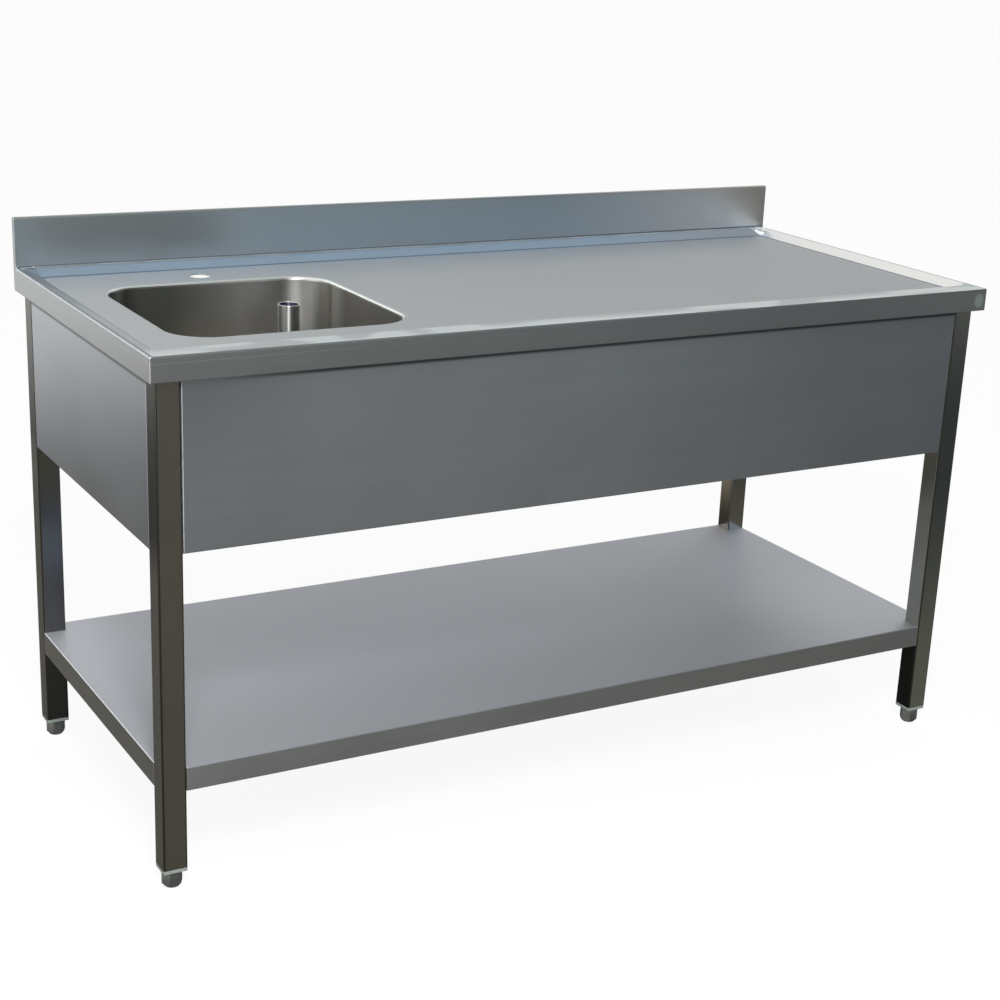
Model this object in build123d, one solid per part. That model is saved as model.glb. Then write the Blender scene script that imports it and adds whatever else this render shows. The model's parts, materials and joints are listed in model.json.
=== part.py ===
from build123d import *
import math
import os

# Stainless steel sink table: a dished worktop with a pressed bowl on the left, a splashback, apron panels,
# square tube legs on screw feet and a folded undershelf.
# Millimetres, +Z up, front towards -Y, origin on the floor under the middle of the worktop.

# Whole table
LENGTH = 1600.0  # left end to right end of the worktop
DEPTH = 700.0  # front edge to the back of the splashback
TOP_HEIGHT = 875.0  # floor to the worktop's raised rim, with the feet screwed right in

# Worktop sheet
TOP_SHEET = 1.5
SKIRT_HEIGHT = 40.0
SKIRT_RETURN = 10.0  # hem folded inwards under the skirt
BEND_RADIUS = 3.0  # outside radius of the folds
RIM_SIDE = 6.0  # flat rim along the two ends
RIM_FRONT = 40.0  # flat rim along the front
DISH_DEPTH = 12.0  # rim down to the dished floor
SLOPE_SIDE = 29.0
SLOPE_FRONT = 12.0
SLOPE_BACK = 40.0
DISH_CORNER = 24.0  # corner radius of the dish at the rim
DISH_FLOOR_CORNER = 12.0
SPLASH_RISE = 87.0  # rim to the top of the splashback
SPLASH_THICKNESS = 12.0
SPLASH_LIP = 12.0  # fold that hangs down behind the splashback
SPLASH_FOOT_RADIUS = 5.0
TAP_HOLE_DIAMETER = 35.0
TAP_SETBACK = 51.0  # bowl's back wall to the middle of the tap hole

# Bowl
BOWL_LENGTH = 400.0
BOWL_WIDTH = 400.0
BOWL_DEPTH = 250.0
BOWL_CORNER = 68.0
BOWL_FLOOR_RADIUS = 45.0
BOWL_SHEET = 1.2
BOWL_MOUTH_RADIUS = 6.0
BOWL_FLANGE = 12.0
BOWL_FROM_LEFT = 97.5  # left end of the worktop to the bowl's left wall
BOWL_FROM_FRONT = 139.0  # front edge of the worktop to the bowl's front wall

# Drain and standpipe
DRAIN_FROM_RIGHT = 92.0  # bowl's right wall to the middle of the drain
DRAIN_FROM_BACK = 92.0  # bowl's back wall to the middle of the drain
DRAIN_THREAD_DIAMETER = 47.8  # outlet with a pipe thread of one and a half inches
DRAIN_BORE = 40.0
DRAIN_FLANGE_DIAMETER = 74.0
DRAIN_FLANGE_THICKNESS = 3.0
DRAIN_OUTLET_LENGTH = 32.0  # free thread below the backnut
DRAIN_RELIEF = 1.5  # groove between the backnut's thread and the outlet
GASKET_DIAMETER = 70.0
GASKET_THICKNESS = 3.0
BACKNUT_ACROSS_FLATS = 62.0
BACKNUT_HEIGHT = 10.0
STANDPIPE_DIAMETER = 38.0
STANDPIPE_WALL = 1.5
STANDPIPE_BELOW_FLOOR = 28.0  # overflow level below the dished floor
PLUG_COLLAR_DIAMETER = 50.0
PLUG_COLLAR_HEIGHT = 14.0
PLUG_SOCKET_DEPTH = 9.0
PLUG_SPIGOT_LENGTH = 14.0
PLUG_BORE = 30.0

# Legs and the rails that carry the worktop
LEG_SIZE = 40.0
LEG_WALL = 1.5
LEG_CORNER = 3.0
LEG_INSET_SIDE = 14.0  # end of the worktop to the leg's outer face
LEG_INSET_FRONT = 19.0
LEG_INSET_BACK = 10.0
LEG_PLATE = 3.0
RAIL_SHEET = 2.0
MIDDLE_RAIL_FROM_RIGHT = 560.0  # right end of the worktop to the middle of the rail

# Aprons and back rail
APRON_SHEET = 1.2
APRON_DROP = 312.0  # rim of the worktop to the apron's lower edge
APRON_BEND_RADIUS = 2.0
APRON_SIDE_RETURN = 32.0
APRON_TOP_RETURN = 40.0
APRON_BOTTOM_RETURN = 15.0
BACK_RAIL_DROP = 120.0  # rim of the worktop to the back rail's lower edge

# Undershelf
SHELF_HEIGHT = 210.0  # floor to the shelf's top face
SHELF_SHEET = 1.2
SHELF_SKIRT = 40.0
SHELF_RETURN = 10.0
SHELF_BEND_RADIUS = 2.0
SHELF_STIFFENER_WIDTH = 80.0
SHELF_STIFFENER_HEIGHT = 25.0

# Feet
FOOT_HEIGHT = 30.0  # floor to the insert's flange
FOOT_ACROSS_FLATS = 30.0
FOOT_CHAMFER = 2.5
SPINDLE_DIAMETER = 12.0
SPINDLE_LENGTH = 46.0
INSERT_FLANGE = 6.0
INSERT_PLUG_LENGTH = 30.0
INSERT_CORNER = 2.0
GLIDE_DIAMETER = 25.0
GLIDE_HEIGHT = 4.0
GLIDE_STUD_DIAMETER = 8.0
GLIDE_STUD_LENGTH = 8.0

# Fasteners
BOLT_DIAMETER = 6.0
BOLT_LENGTH = 16.0
BOLT_HEAD_DIAMETER = 10.5
BOLT_HEAD_HEIGHT = 3.3
BOLT_SOCKET = 4.0  # across the flats of the key socket
BOLT_SOCKET_DEPTH = 1.8
RIVET_NUT_DIAMETER = 9.0
RIVET_NUT_LENGTH = 14.0
RIVET_COLLAR_DIAMETER = 12.0
RIVET_COLLAR_HEIGHT = 2.5
RAIL_BOLT_DIAMETER = 8.0
RAIL_BOLT_LENGTH = 20.0
RAIL_BOLT_ACROSS_FLATS = 13.0
RAIL_BOLT_HEAD_HEIGHT = 5.3
FRONT_BOLT_EDGE = 50.0  # bolt to the lower edge, and to the leg's top, on the front apron
SIDE_BOLT_EDGE = 75.0  # the same on the side aprons, clear of the front apron's bolts
BACK_BOLT_EDGE = 25.0  # bolt to the leg's top on the back rail

# Clearances
SLIP_GAP = 0.2  # between folded pieces that are slid together
WELD_GAP = 0.1  # butt joint round the bowl
THREAD_GAP = 0.05  # radial, in threads and on the glide's stud
BOLT_HOLE_GAP = 0.3  # radial, round a bolt in a sheet
PLUG_GAP = 0.3  # radial, round the standpipe's plug in the drain

NEAR = 0.01  # how close a point must lie to count as on an edge

# Levels and places that follow from the sizes above
HALF_LENGTH = LENGTH / 2
HALF_DEPTH = DEPTH / 2
SKIRT_BOTTOM = TOP_HEIGHT - SKIRT_HEIGHT
DISH_FLOOR = TOP_HEIGHT - DISH_DEPTH
FLOOR_UNDERSIDE = DISH_FLOOR - TOP_SHEET
SPLASH_TOP = TOP_HEIGHT + SPLASH_RISE
SPLASH_FACE = HALF_DEPTH - SPLASH_THICKNESS
FRAME_TOP = SKIRT_BOTTOM + TOP_SHEET
LEG_TOP = FRAME_TOP - LEG_PLATE
LEG_BOTTOM = FOOT_HEIGHT + INSERT_FLANGE
LEG_X = HALF_LENGTH - LEG_INSET_SIDE - LEG_SIZE / 2
LEG_FRONT_Y = -HALF_DEPTH + LEG_INSET_FRONT + LEG_SIZE / 2
LEG_BACK_Y = HALF_DEPTH - LEG_INSET_BACK - LEG_SIZE / 2
LEG_MIDDLE_Y = (LEG_FRONT_Y + LEG_BACK_Y) / 2
APRON_BOTTOM = TOP_HEIGHT - APRON_DROP
BACK_RAIL_BOTTOM = TOP_HEIGHT - BACK_RAIL_DROP
BOWL_X = -HALF_LENGTH + BOWL_FROM_LEFT + BOWL_LENGTH / 2
BOWL_Y = -HALF_DEPTH + BOWL_FROM_FRONT + BOWL_WIDTH / 2
BOWL_FLOOR = DISH_FLOOR - BOWL_DEPTH
BOWL_UNDERSIDE = BOWL_FLOOR - BOWL_SHEET
DRAIN_X = BOWL_X + BOWL_LENGTH / 2 - DRAIN_FROM_RIGHT
DRAIN_Y = BOWL_Y + BOWL_WIDTH / 2 - DRAIN_FROM_BACK
DRAIN_SEAT = BOWL_FLOOR + DRAIN_FLANGE_THICKNESS
BACKNUT_BOTTOM = BOWL_UNDERSIDE - GASKET_THICKNESS - BACKNUT_HEIGHT
TAP_Y = BOWL_Y + BOWL_WIDTH / 2 + TAP_SETBACK
LEGS = {
    "front_left": (-LEG_X, LEG_FRONT_Y),
    "front_right": (LEG_X, LEG_FRONT_Y),
    "back_left": (-LEG_X, LEG_BACK_Y),
    "back_right": (LEG_X, LEG_BACK_Y),
}
FRONT_BOLT_LEVELS = (APRON_BOTTOM + FRONT_BOLT_EDGE, LEG_TOP - FRONT_BOLT_EDGE)
SIDE_BOLT_LEVELS = (APRON_BOTTOM + SIDE_BOLT_EDGE, LEG_TOP - SIDE_BOLT_EDGE)
BACK_BOLT_LEVELS = (LEG_TOP - BACK_BOLT_EDGE,)
SHELF_BOLT_LEVELS = (SHELF_HEIGHT - SHELF_SKIRT / 2,)


def block(x, y, z):
    """A box between the low and high values along each axis."""
    size = [high - low for low, high in (x, y, z)]
    return Pos(x[0], y[0], z[0]) * Box(*size, align=(Align.MIN, Align.MIN, Align.MIN))


def rod(diameter, low, high, x=0.0, y=0.0):
    """An upright cylinder between two levels."""
    upright = (Align.CENTER, Align.CENTER, Align.MIN)
    return Pos(x, y, low) * Cylinder(diameter / 2, high - low, align=upright)


def hexagon(across_flats, low, high, x=0.0, y=0.0):
    """An upright hexagonal bar between two levels."""
    outline = RegularPolygon(across_flats / 2, 6, major_radius=False)
    return extrude(Pos(x, y, low) * outline, high - low)


def edges_through(shape, *points):
    """The edges of a shape whose middles lie at the given points."""
    middles = [Vector(*point) for point in points]
    return [edge for edge in shape.edges() if any((edge @ 0.5 - middle).length < NEAR for middle in middles)]


def dish(drop=0.0):
    """The space pressed into the worktop, wide at the rim and narrower at its flat floor."""
    rim_front = -HALF_DEPTH + RIM_FRONT
    floor_front = rim_front + SLOPE_FRONT
    floor_back = SPLASH_FACE - SLOPE_BACK
    rim_width = LENGTH - 2 * RIM_SIDE
    rim = RectangleRounded(rim_width, SPLASH_FACE - rim_front, DISH_CORNER)
    floor = RectangleRounded(rim_width - 2 * SLOPE_SIDE, floor_back - floor_front, DISH_FLOOR_CORNER)
    rim_place = Pos(0, (SPLASH_FACE + rim_front) / 2, TOP_HEIGHT - drop)
    floor_place = Pos(0, (floor_back + floor_front) / 2, DISH_FLOOR - drop)
    return loft([rim_place * rim, floor_place * floor], ruled=True)


def bowl_outline(margin=0.0):
    """The bowl's opening seen from above, widened by a margin."""
    outline = RectangleRounded(BOWL_LENGTH + 2 * margin, BOWL_WIDTH + 2 * margin, BOWL_CORNER + margin)
    return Pos(BOWL_X, BOWL_Y, DISH_FLOOR) * outline


def mouth_edges(shape, level, margin):
    """The edges of a shape that go round the bowl at a level, at a margin outside its opening."""
    found = []
    for edge in shape.edges():
        point = edge @ 0.5
        across = max(abs(point.X - BOWL_X) - BOWL_LENGTH / 2 + BOWL_CORNER, 0)
        along = max(abs(point.Y - BOWL_Y) - BOWL_WIDTH / 2 + BOWL_CORNER, 0)
        outside = math.hypot(across, along) - BOWL_CORNER
        if abs(point.Z - level) < NEAR and abs(outside - margin) < NEAR:
            found.append(edge)
    return found


def bend_worktop_edges(shape, half_length, half_depth, splash_face, bottom, top, radius):
    """Round the folds along the front, the ends and the two front corners."""
    side_middle = (splash_face - half_depth) / 2
    upright_middle = (bottom + top) / 2
    folds = edges_through(
        shape,
        (0, -half_depth, top),
        (-half_length, side_middle, top),
        (half_length, side_middle, top),
        (-half_length, -half_depth, upright_middle),
        (half_length, -half_depth, upright_middle),
    )
    return fillet(folds, radius)


def worktop():
    """Folded sheet: skirts with hems, raised rim, dish, splashback, bowl cut-out and tap hole."""
    ends = (-HALF_LENGTH, HALF_LENGTH)
    inner_ends = (-HALF_LENGTH + TOP_SHEET, HALF_LENGTH - TOP_SHEET)
    slab = block(ends, (-HALF_DEPTH, HALF_DEPTH), (SKIRT_BOTTOM, TOP_HEIGHT))
    splash = block(ends, (SPLASH_FACE, HALF_DEPTH), (TOP_HEIGHT, SPLASH_TOP))
    outer = bend_worktop_edges(
        slab + splash, HALF_LENGTH, HALF_DEPTH, SPLASH_FACE, SKIRT_BOTTOM, TOP_HEIGHT, BEND_RADIUS
    )
    outer = fillet(edges_through(outer, (0, SPLASH_FACE, SPLASH_TOP), (0, HALF_DEPTH, SPLASH_TOP)), BEND_RADIUS)

    inner_front = -HALF_DEPTH + TOP_SHEET
    inner_top = TOP_HEIGHT - TOP_SHEET
    hem_top = SKIRT_BOTTOM + TOP_SHEET
    under = block(inner_ends, (inner_front, HALF_DEPTH), (hem_top, inner_top))
    under = bend_worktop_edges(
        under, HALF_LENGTH - TOP_SHEET, -inner_front, HALF_DEPTH, hem_top, inner_top, BEND_RADIUS - TOP_SHEET
    )
    hem_ends = (inner_ends[0] + SKIRT_RETURN, inner_ends[1] - SKIRT_RETURN)
    hem_mouth = block(hem_ends, (inner_front + SKIRT_RETURN, HALF_DEPTH), (SKIRT_BOTTOM, hem_top))
    behind = block(
        inner_ends, (SPLASH_FACE + TOP_SHEET, HALF_DEPTH - TOP_SHEET), (hem_top, SPLASH_TOP - TOP_SHEET)
    )
    behind_mouth = block(inner_ends, (HALF_DEPTH - TOP_SHEET, HALF_DEPTH), (hem_top, SPLASH_TOP - SPLASH_LIP))
    sheet = outer - dish() - (under - dish(TOP_SHEET)) - hem_mouth - behind - behind_mouth

    splash_foot = edges_through(sheet, (0, SPLASH_FACE, TOP_HEIGHT))
    sheet = fillet(splash_foot, SPLASH_FOOT_RADIUS)
    cut_out = extrude(bowl_outline(BOWL_FLANGE + WELD_GAP), SKIRT_HEIGHT / 2, both=True)
    tap_hole = rod(TAP_HOLE_DIAMETER, SKIRT_BOTTOM, TOP_HEIGHT, BOWL_X, TAP_Y)
    return sheet - cut_out - tap_hole


def bowl():
    """Pressed shell whose rolled mouth runs out into a flat flange, level with the dished floor."""
    walls = extrude(bowl_outline(BOWL_SHEET), -(BOWL_DEPTH + BOWL_SHEET))
    walls = fillet(walls.faces().sort_by(Axis.Z)[0].edges(), BOWL_FLOOR_RADIUS + BOWL_SHEET)
    flange = extrude(bowl_outline(BOWL_FLANGE), -TOP_SHEET)
    shell = walls + flange
    neck = mouth_edges(shell, FLOOR_UNDERSIDE, BOWL_SHEET)
    shell = fillet(neck, BOWL_MOUTH_RADIUS - BOWL_SHEET)

    pocket = extrude(bowl_outline(), -BOWL_DEPTH)
    pocket = fillet(pocket.faces().sort_by(Axis.Z)[0].edges(), BOWL_FLOOR_RADIUS)
    above = extrude(bowl_outline(2 * BOWL_FLANGE), BOWL_FLANGE)
    tool = pocket + above
    tool = fillet(mouth_edges(tool, DISH_FLOOR, 0), BOWL_MOUTH_RADIUS)
    drain_hole = rod(
        DRAIN_THREAD_DIAMETER + 2 * BOLT_HOLE_GAP, BOWL_UNDERSIDE - BOWL_SHEET, DRAIN_SEAT, DRAIN_X, DRAIN_Y
    )
    return shell - tool - drain_hole


def drain_fitting():
    """Flanged drain: its thread passes the bowl, gasket and backnut and ends in the outlet."""
    outlet_top = BACKNUT_BOTTOM - DRAIN_RELIEF
    outlet_bottom = outlet_top - DRAIN_OUTLET_LENGTH
    relief_diameter = DRAIN_THREAD_DIAMETER - DRAIN_RELIEF
    flange = rod(DRAIN_FLANGE_DIAMETER, BOWL_FLOOR, DRAIN_SEAT, DRAIN_X, DRAIN_Y)
    flange = fillet(flange.edges().sort_by(Axis.Z)[-1], DRAIN_FLANGE_THICKNESS / 2)
    thread = rod(DRAIN_THREAD_DIAMETER, BACKNUT_BOTTOM, BOWL_FLOOR, DRAIN_X, DRAIN_Y)
    relief = rod(relief_diameter, outlet_top, BACKNUT_BOTTOM, DRAIN_X, DRAIN_Y)
    outlet = rod(DRAIN_THREAD_DIAMETER, outlet_bottom, outlet_top, DRAIN_X, DRAIN_Y)
    bore = rod(DRAIN_BORE, outlet_bottom, DRAIN_SEAT, DRAIN_X, DRAIN_Y)
    return flange + thread + relief + outlet - bore


def drain_gasket():
    """Rubber ring between the bowl's underside and the backnut."""
    low = BOWL_UNDERSIDE - GASKET_THICKNESS
    ring = rod(GASKET_DIAMETER, low, BOWL_UNDERSIDE, DRAIN_X, DRAIN_Y)
    return ring - rod(DRAIN_THREAD_DIAMETER + 2 * THREAD_GAP, low, BOWL_UNDERSIDE, DRAIN_X, DRAIN_Y)


def drain_backnut():
    """Hexagonal nut that clamps the drain to the bowl."""
    top = BACKNUT_BOTTOM + BACKNUT_HEIGHT
    nut = hexagon(BACKNUT_ACROSS_FLATS, BACKNUT_BOTTOM, top, DRAIN_X, DRAIN_Y)
    return nut - rod(DRAIN_THREAD_DIAMETER + 2 * THREAD_GAP, BACKNUT_BOTTOM, top, DRAIN_X, DRAIN_Y)


def standpipe_tube():
    """Overflow tube whose lower end sits in the plug's socket."""
    low = DRAIN_SEAT + PLUG_COLLAR_HEIGHT - PLUG_SOCKET_DEPTH
    high = DISH_FLOOR - STANDPIPE_BELOW_FLOOR
    tube = rod(STANDPIPE_DIAMETER, low, high, DRAIN_X, DRAIN_Y)
    tube -= rod(STANDPIPE_DIAMETER - 2 * STANDPIPE_WALL, low, high, DRAIN_X, DRAIN_Y)
    lip = tube.edges().filter_by(GeomType.CIRCLE).group_by(Axis.Z)[-1]
    return fillet(lip, STANDPIPE_WALL / 3)


def standpipe_plug():
    """Rubber plug: a collar that rests on the drain's flange and a spigot in its bore."""
    collar_top = DRAIN_SEAT + PLUG_COLLAR_HEIGHT
    spigot_bottom = DRAIN_SEAT - PLUG_SPIGOT_LENGTH
    collar = rod(PLUG_COLLAR_DIAMETER, DRAIN_SEAT, collar_top, DRAIN_X, DRAIN_Y)
    collar = fillet(collar.edges().sort_by(Axis.Z)[-1], BEND_RADIUS)
    spigot = rod(DRAIN_BORE - 2 * PLUG_GAP, spigot_bottom, DRAIN_SEAT, DRAIN_X, DRAIN_Y)
    socket = rod(
        STANDPIPE_DIAMETER + 2 * THREAD_GAP, collar_top - PLUG_SOCKET_DEPTH, collar_top, DRAIN_X, DRAIN_Y
    )
    return collar + spigot - socket - rod(PLUG_BORE, spigot_bottom, collar_top, DRAIN_X, DRAIN_Y)


def seat(leg, normal, level):
    """The plane on a leg's face where a bolt goes in, looking out of the face."""
    x, y = LEGS[leg]
    origin = (x + normal[0] * LEG_SIZE / 2, y + normal[1] * LEG_SIZE / 2, level)
    return Plane(origin=origin, z_dir=(normal[0], normal[1], 0))


def towards_middle(leg):
    """The direction along the table from a leg to the table's middle."""
    return (1, 0) if LEGS[leg][0] < 0 else (-1, 0)


def towards_partner(leg):
    """The direction across the table from a leg to the other leg at its end."""
    return (0, 1) if LEGS[leg][1] == LEG_FRONT_Y else (0, -1)


def front_apron_seats():
    return [
        seat(leg, towards_middle(leg), level)
        for leg in ("front_left", "front_right")
        for level in FRONT_BOLT_LEVELS
    ]


def side_apron_seats():
    return [seat(leg, towards_partner(leg), level) for leg in LEGS for level in SIDE_BOLT_LEVELS]


def back_rail_seats():
    return [
        seat(leg, towards_middle(leg), level)
        for leg in ("back_left", "back_right")
        for level in BACK_BOLT_LEVELS
    ]


def shelf_seats():
    return [seat(leg, towards_middle(leg), level) for leg in LEGS for level in SHELF_BOLT_LEVELS]


def all_seats():
    return front_apron_seats() + side_apron_seats() + back_rail_seats() + shelf_seats()


def group(shapes):
    """Separate solids that share one node."""
    return Compound(children=[solid for shape in shapes for solid in shape.solids()])


def bolts(seats, sheet):
    """Button-head bolts through a sheet that lies on the leg's face."""
    head_low = SLIP_GAP + sheet
    head = rod(BOLT_HEAD_DIAMETER, head_low, head_low + BOLT_HEAD_HEIGHT)
    head = fillet(head.edges().sort_by(Axis.Z)[-1], BOLT_HEAD_HEIGHT / 2)
    shank = rod(BOLT_DIAMETER, head_low - BOLT_LENGTH, head_low)
    socket = hexagon(BOLT_SOCKET, head_low + BOLT_HEAD_HEIGHT - BOLT_SOCKET_DEPTH, head_low + BOLT_HEAD_HEIGHT)
    bolt = head + shank - socket
    return group([plane.location * bolt for plane in seats])


def rivet_nuts():
    """Threaded sleeves set in the legs' walls."""
    sleeve = rod(RIVET_NUT_DIAMETER, -RIVET_NUT_LENGTH, 0)
    collar = rod(RIVET_COLLAR_DIAMETER, -LEG_WALL - RIVET_COLLAR_HEIGHT, -LEG_WALL)
    nut = sleeve + collar - rod(BOLT_DIAMETER + 2 * THREAD_GAP, -RIVET_NUT_LENGTH, 0)
    return group([plane.location * nut for plane in all_seats()])


def leg(name):
    """Square tube with holes for its rivet nuts."""
    x, y = LEGS[name]
    inner = LEG_SIZE - 2 * LEG_WALL
    outline = RectangleRounded(LEG_SIZE, LEG_SIZE, LEG_CORNER)
    outline -= RectangleRounded(inner, inner, LEG_CORNER - LEG_WALL)
    tube = extrude(Pos(x, y, LEG_BOTTOM) * outline, LEG_TOP - LEG_BOTTOM)
    hole = rod(RIVET_NUT_DIAMETER + 2 * THREAD_GAP, -2 * LEG_WALL, LEG_WALL)
    for plane in all_seats():
        on_this_leg = abs(plane.origin.X - x) < LEG_SIZE and abs(plane.origin.Y - y) < LEG_SIZE
        if on_this_leg:
            tube -= plane.location * hole
    return tube


def leg_top_plate(name):
    """Plate welded on the leg's top, threaded for the rail bolt."""
    x, y = LEGS[name]
    plate = extrude(Pos(x, y, LEG_TOP) * RectangleRounded(LEG_SIZE, LEG_SIZE, LEG_CORNER), LEG_PLATE)
    return plate - rod(RAIL_BOLT_DIAMETER + 2 * THREAD_GAP, LEG_TOP, FRAME_TOP, x, y)


def foot_insert(name):
    """Plastic plug in the leg's lower end, with a flange and a threaded bore for the foot."""
    x, y = LEGS[name]
    plug_size = LEG_SIZE - 2 * LEG_WALL - 2 * SLIP_GAP
    plug_top = LEG_BOTTOM + INSERT_PLUG_LENGTH
    flange = extrude(Pos(x, y, FOOT_HEIGHT) * RectangleRounded(LEG_SIZE, LEG_SIZE, LEG_CORNER), INSERT_FLANGE)
    plug = extrude(Pos(x, y, LEG_BOTTOM) * RectangleRounded(plug_size, plug_size, INSERT_CORNER), INSERT_PLUG_LENGTH)
    return flange + plug - rod(SPINDLE_DIAMETER + 2 * THREAD_GAP, FOOT_HEIGHT, plug_top, x, y)


def foot(name):
    """Hexagonal foot with its spindle, and a bore below for the glide's stud."""
    x, y = LEGS[name]
    low = GLIDE_HEIGHT + SLIP_GAP
    high = FOOT_HEIGHT - SLIP_GAP
    body = hexagon(FOOT_ACROSS_FLATS, low, high, x, y)
    body = chamfer(body.faces().sort_by(Axis.Z)[0].edges(), FOOT_CHAMFER)
    spindle = rod(SPINDLE_DIAMETER, high, high + SPINDLE_LENGTH, x, y)
    spindle = chamfer(spindle.edges().sort_by(Axis.Z)[-1], SPINDLE_DIAMETER / 8)
    stud_bore = rod(
        GLIDE_STUD_DIAMETER + 2 * THREAD_GAP, low, GLIDE_HEIGHT + GLIDE_STUD_LENGTH + SLIP_GAP, x, y
    )
    return body + spindle - stud_bore


def glide(name):
    """Plastic pad on the floor, with a stud that turns in the foot."""
    x, y = LEGS[name]
    pad = rod(GLIDE_DIAMETER, 0, GLIDE_HEIGHT, x, y)
    pad = fillet(pad.edges().sort_by(Axis.Z)[0], GLIDE_HEIGHT / 4)
    return pad + rod(GLIDE_STUD_DIAMETER, GLIDE_HEIGHT, GLIDE_HEIGHT + GLIDE_STUD_LENGTH, x, y)


def cross_rail(x, front, back, bolt_places):
    """Channel under the dished floor, open upwards, with holes for the rail bolts."""
    half = LEG_SIZE / 2
    channel = block((x - half, x + half), (front, back), (FRAME_TOP, FLOOR_UNDERSIDE))
    channel -= block(
        (x - half + RAIL_SHEET, x + half - RAIL_SHEET), (front, back), (FRAME_TOP + RAIL_SHEET, FLOOR_UNDERSIDE)
    )
    for y in bolt_places:
        channel -= rod(RAIL_BOLT_DIAMETER + 2 * BOLT_HOLE_GAP, FRAME_TOP, FRAME_TOP + RAIL_SHEET, x, y)
    return channel


def leg_rail(x):
    """Cross rail over the two legs at one end of the table."""
    half = LEG_SIZE / 2
    return cross_rail(x, LEG_FRONT_Y - half, LEG_BACK_Y + half, (LEG_FRONT_Y, LEG_BACK_Y))


def middle_rail():
    """Cross rail under the worktop's middle, from the front apron to the back rail, which it lies over."""
    front = LEG_FRONT_Y - LEG_SIZE / 2 + APRON_TOP_RETURN + SLIP_GAP
    back = LEG_BACK_Y + LEG_SIZE / 2
    return cross_rail(HALF_LENGTH - MIDDLE_RAIL_FROM_RIGHT, front, back, ())


def rail_bolts():
    """Hexagon bolts that hold the cross rails on the legs."""
    head_low = FRAME_TOP + RAIL_SHEET
    shapes = []
    for x, y in LEGS.values():
        head = hexagon(RAIL_BOLT_ACROSS_FLATS, head_low, head_low + RAIL_BOLT_HEAD_HEIGHT, x, y)
        shapes.append(head + rod(RAIL_BOLT_DIAMETER, head_low - RAIL_BOLT_LENGTH, head_low, x, y))
    return group(shapes)


def panel(width, low, high, bolt_levels):
    """Folded panel seen from outside: face on the XZ plane, returns towards +Y, bolt holes in its sides."""
    half = width / 2
    face = block((-half, half), (0, APRON_SHEET), (low, high))
    top = block((-half, half), (0, APRON_TOP_RETURN), (high - APRON_SHEET, high))
    bottom = block((-half, half), (0, APRON_BOTTOM_RETURN), (low, low + APRON_SHEET))
    left = block((-half, -half + APRON_SHEET), (0, APRON_SIDE_RETURN), (low, high))
    right = block((half - APRON_SHEET, half), (0, APRON_SIDE_RETURN), (low, high))
    folded = face + top + bottom + left + right
    middle = (low + high) / 2
    folds = edges_through(folded, (-half, 0, middle), (half, 0, middle), (0, 0, low))
    folded = fillet(folds, APRON_BEND_RADIUS)
    hole = Rot(0, 90, 0) * Cylinder(BOLT_DIAMETER / 2 + BOLT_HOLE_GAP, 2 * width)
    for level in bolt_levels:
        folded -= Pos(0, LEG_SIZE / 2, level) * hole
    return folded


def front_apron():
    width = 2 * LEG_X - LEG_SIZE - 2 * SLIP_GAP
    return Pos(0, LEG_FRONT_Y - LEG_SIZE / 2, 0) * panel(width, APRON_BOTTOM, FLOOR_UNDERSIDE, FRONT_BOLT_LEVELS)


def back_rail():
    """Panel between the back legs, low enough to leave the space behind the tap hole open."""
    width = 2 * LEG_X - LEG_SIZE - 2 * SLIP_GAP
    turned = Rot(0, 0, 180) * panel(width, BACK_RAIL_BOTTOM, FRAME_TOP - SLIP_GAP, BACK_BOLT_LEVELS)
    return Pos(0, LEG_BACK_Y + LEG_SIZE / 2, 0) * turned


def side_apron(end):
    """Panel between the two legs at one end: -1 is the left end and 1 is the right end."""
    width = LEG_BACK_Y - LEG_FRONT_Y - LEG_SIZE - 2 * SLIP_GAP
    turned = Rot(0, 0, end * 90) * panel(width, APRON_BOTTOM, FRAME_TOP - SLIP_GAP, SIDE_BOLT_LEVELS)
    return Pos(end * (LEG_X + LEG_SIZE / 2), LEG_MIDDLE_Y, 0) * turned


def shelf():
    """Folded tray, upside down, notched round the legs, with holes for its bolts."""
    half_length = LEG_X + LEG_SIZE / 2
    width = LEG_BACK_Y - LEG_FRONT_Y + LEG_SIZE
    bottom = SHELF_HEIGHT - SHELF_SKIRT
    outline = Pos(0, LEG_MIDDLE_Y) * Rectangle(2 * half_length, width)
    notch = Rectangle(LEG_SIZE + 2 * SLIP_GAP, LEG_SIZE + 2 * SLIP_GAP)
    for x, y in LEGS.values():
        outline -= Pos(x, y) * notch
    tray = extrude(Pos(0, 0, bottom) * outline, SHELF_SKIRT)
    folds = edges_through(
        tray,
        (0, LEG_MIDDLE_Y - width / 2, SHELF_HEIGHT),
        (0, LEG_MIDDLE_Y + width / 2, SHELF_HEIGHT),
        (-half_length, LEG_MIDDLE_Y, SHELF_HEIGHT),
        (half_length, LEG_MIDDLE_Y, SHELF_HEIGHT),
    )
    tray = fillet(folds, SHELF_BEND_RADIUS)
    inside = offset(outline, -SHELF_SHEET, kind=Kind.INTERSECTION)
    mouth = offset(outline, -SHELF_SHEET - SHELF_RETURN, kind=Kind.INTERSECTION)
    hem_top = bottom + SHELF_SHEET
    tray -= extrude(Pos(0, 0, hem_top) * inside, SHELF_SKIRT - 2 * SHELF_SHEET)
    tray -= extrude(Pos(0, 0, bottom) * mouth, SHELF_SHEET)
    hole = rod(BOLT_DIAMETER + 2 * BOLT_HOLE_GAP, -LEG_WALL, LEG_SIZE / 2)
    for plane in shelf_seats():
        tray -= plane.location * hole
    return tray


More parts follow.
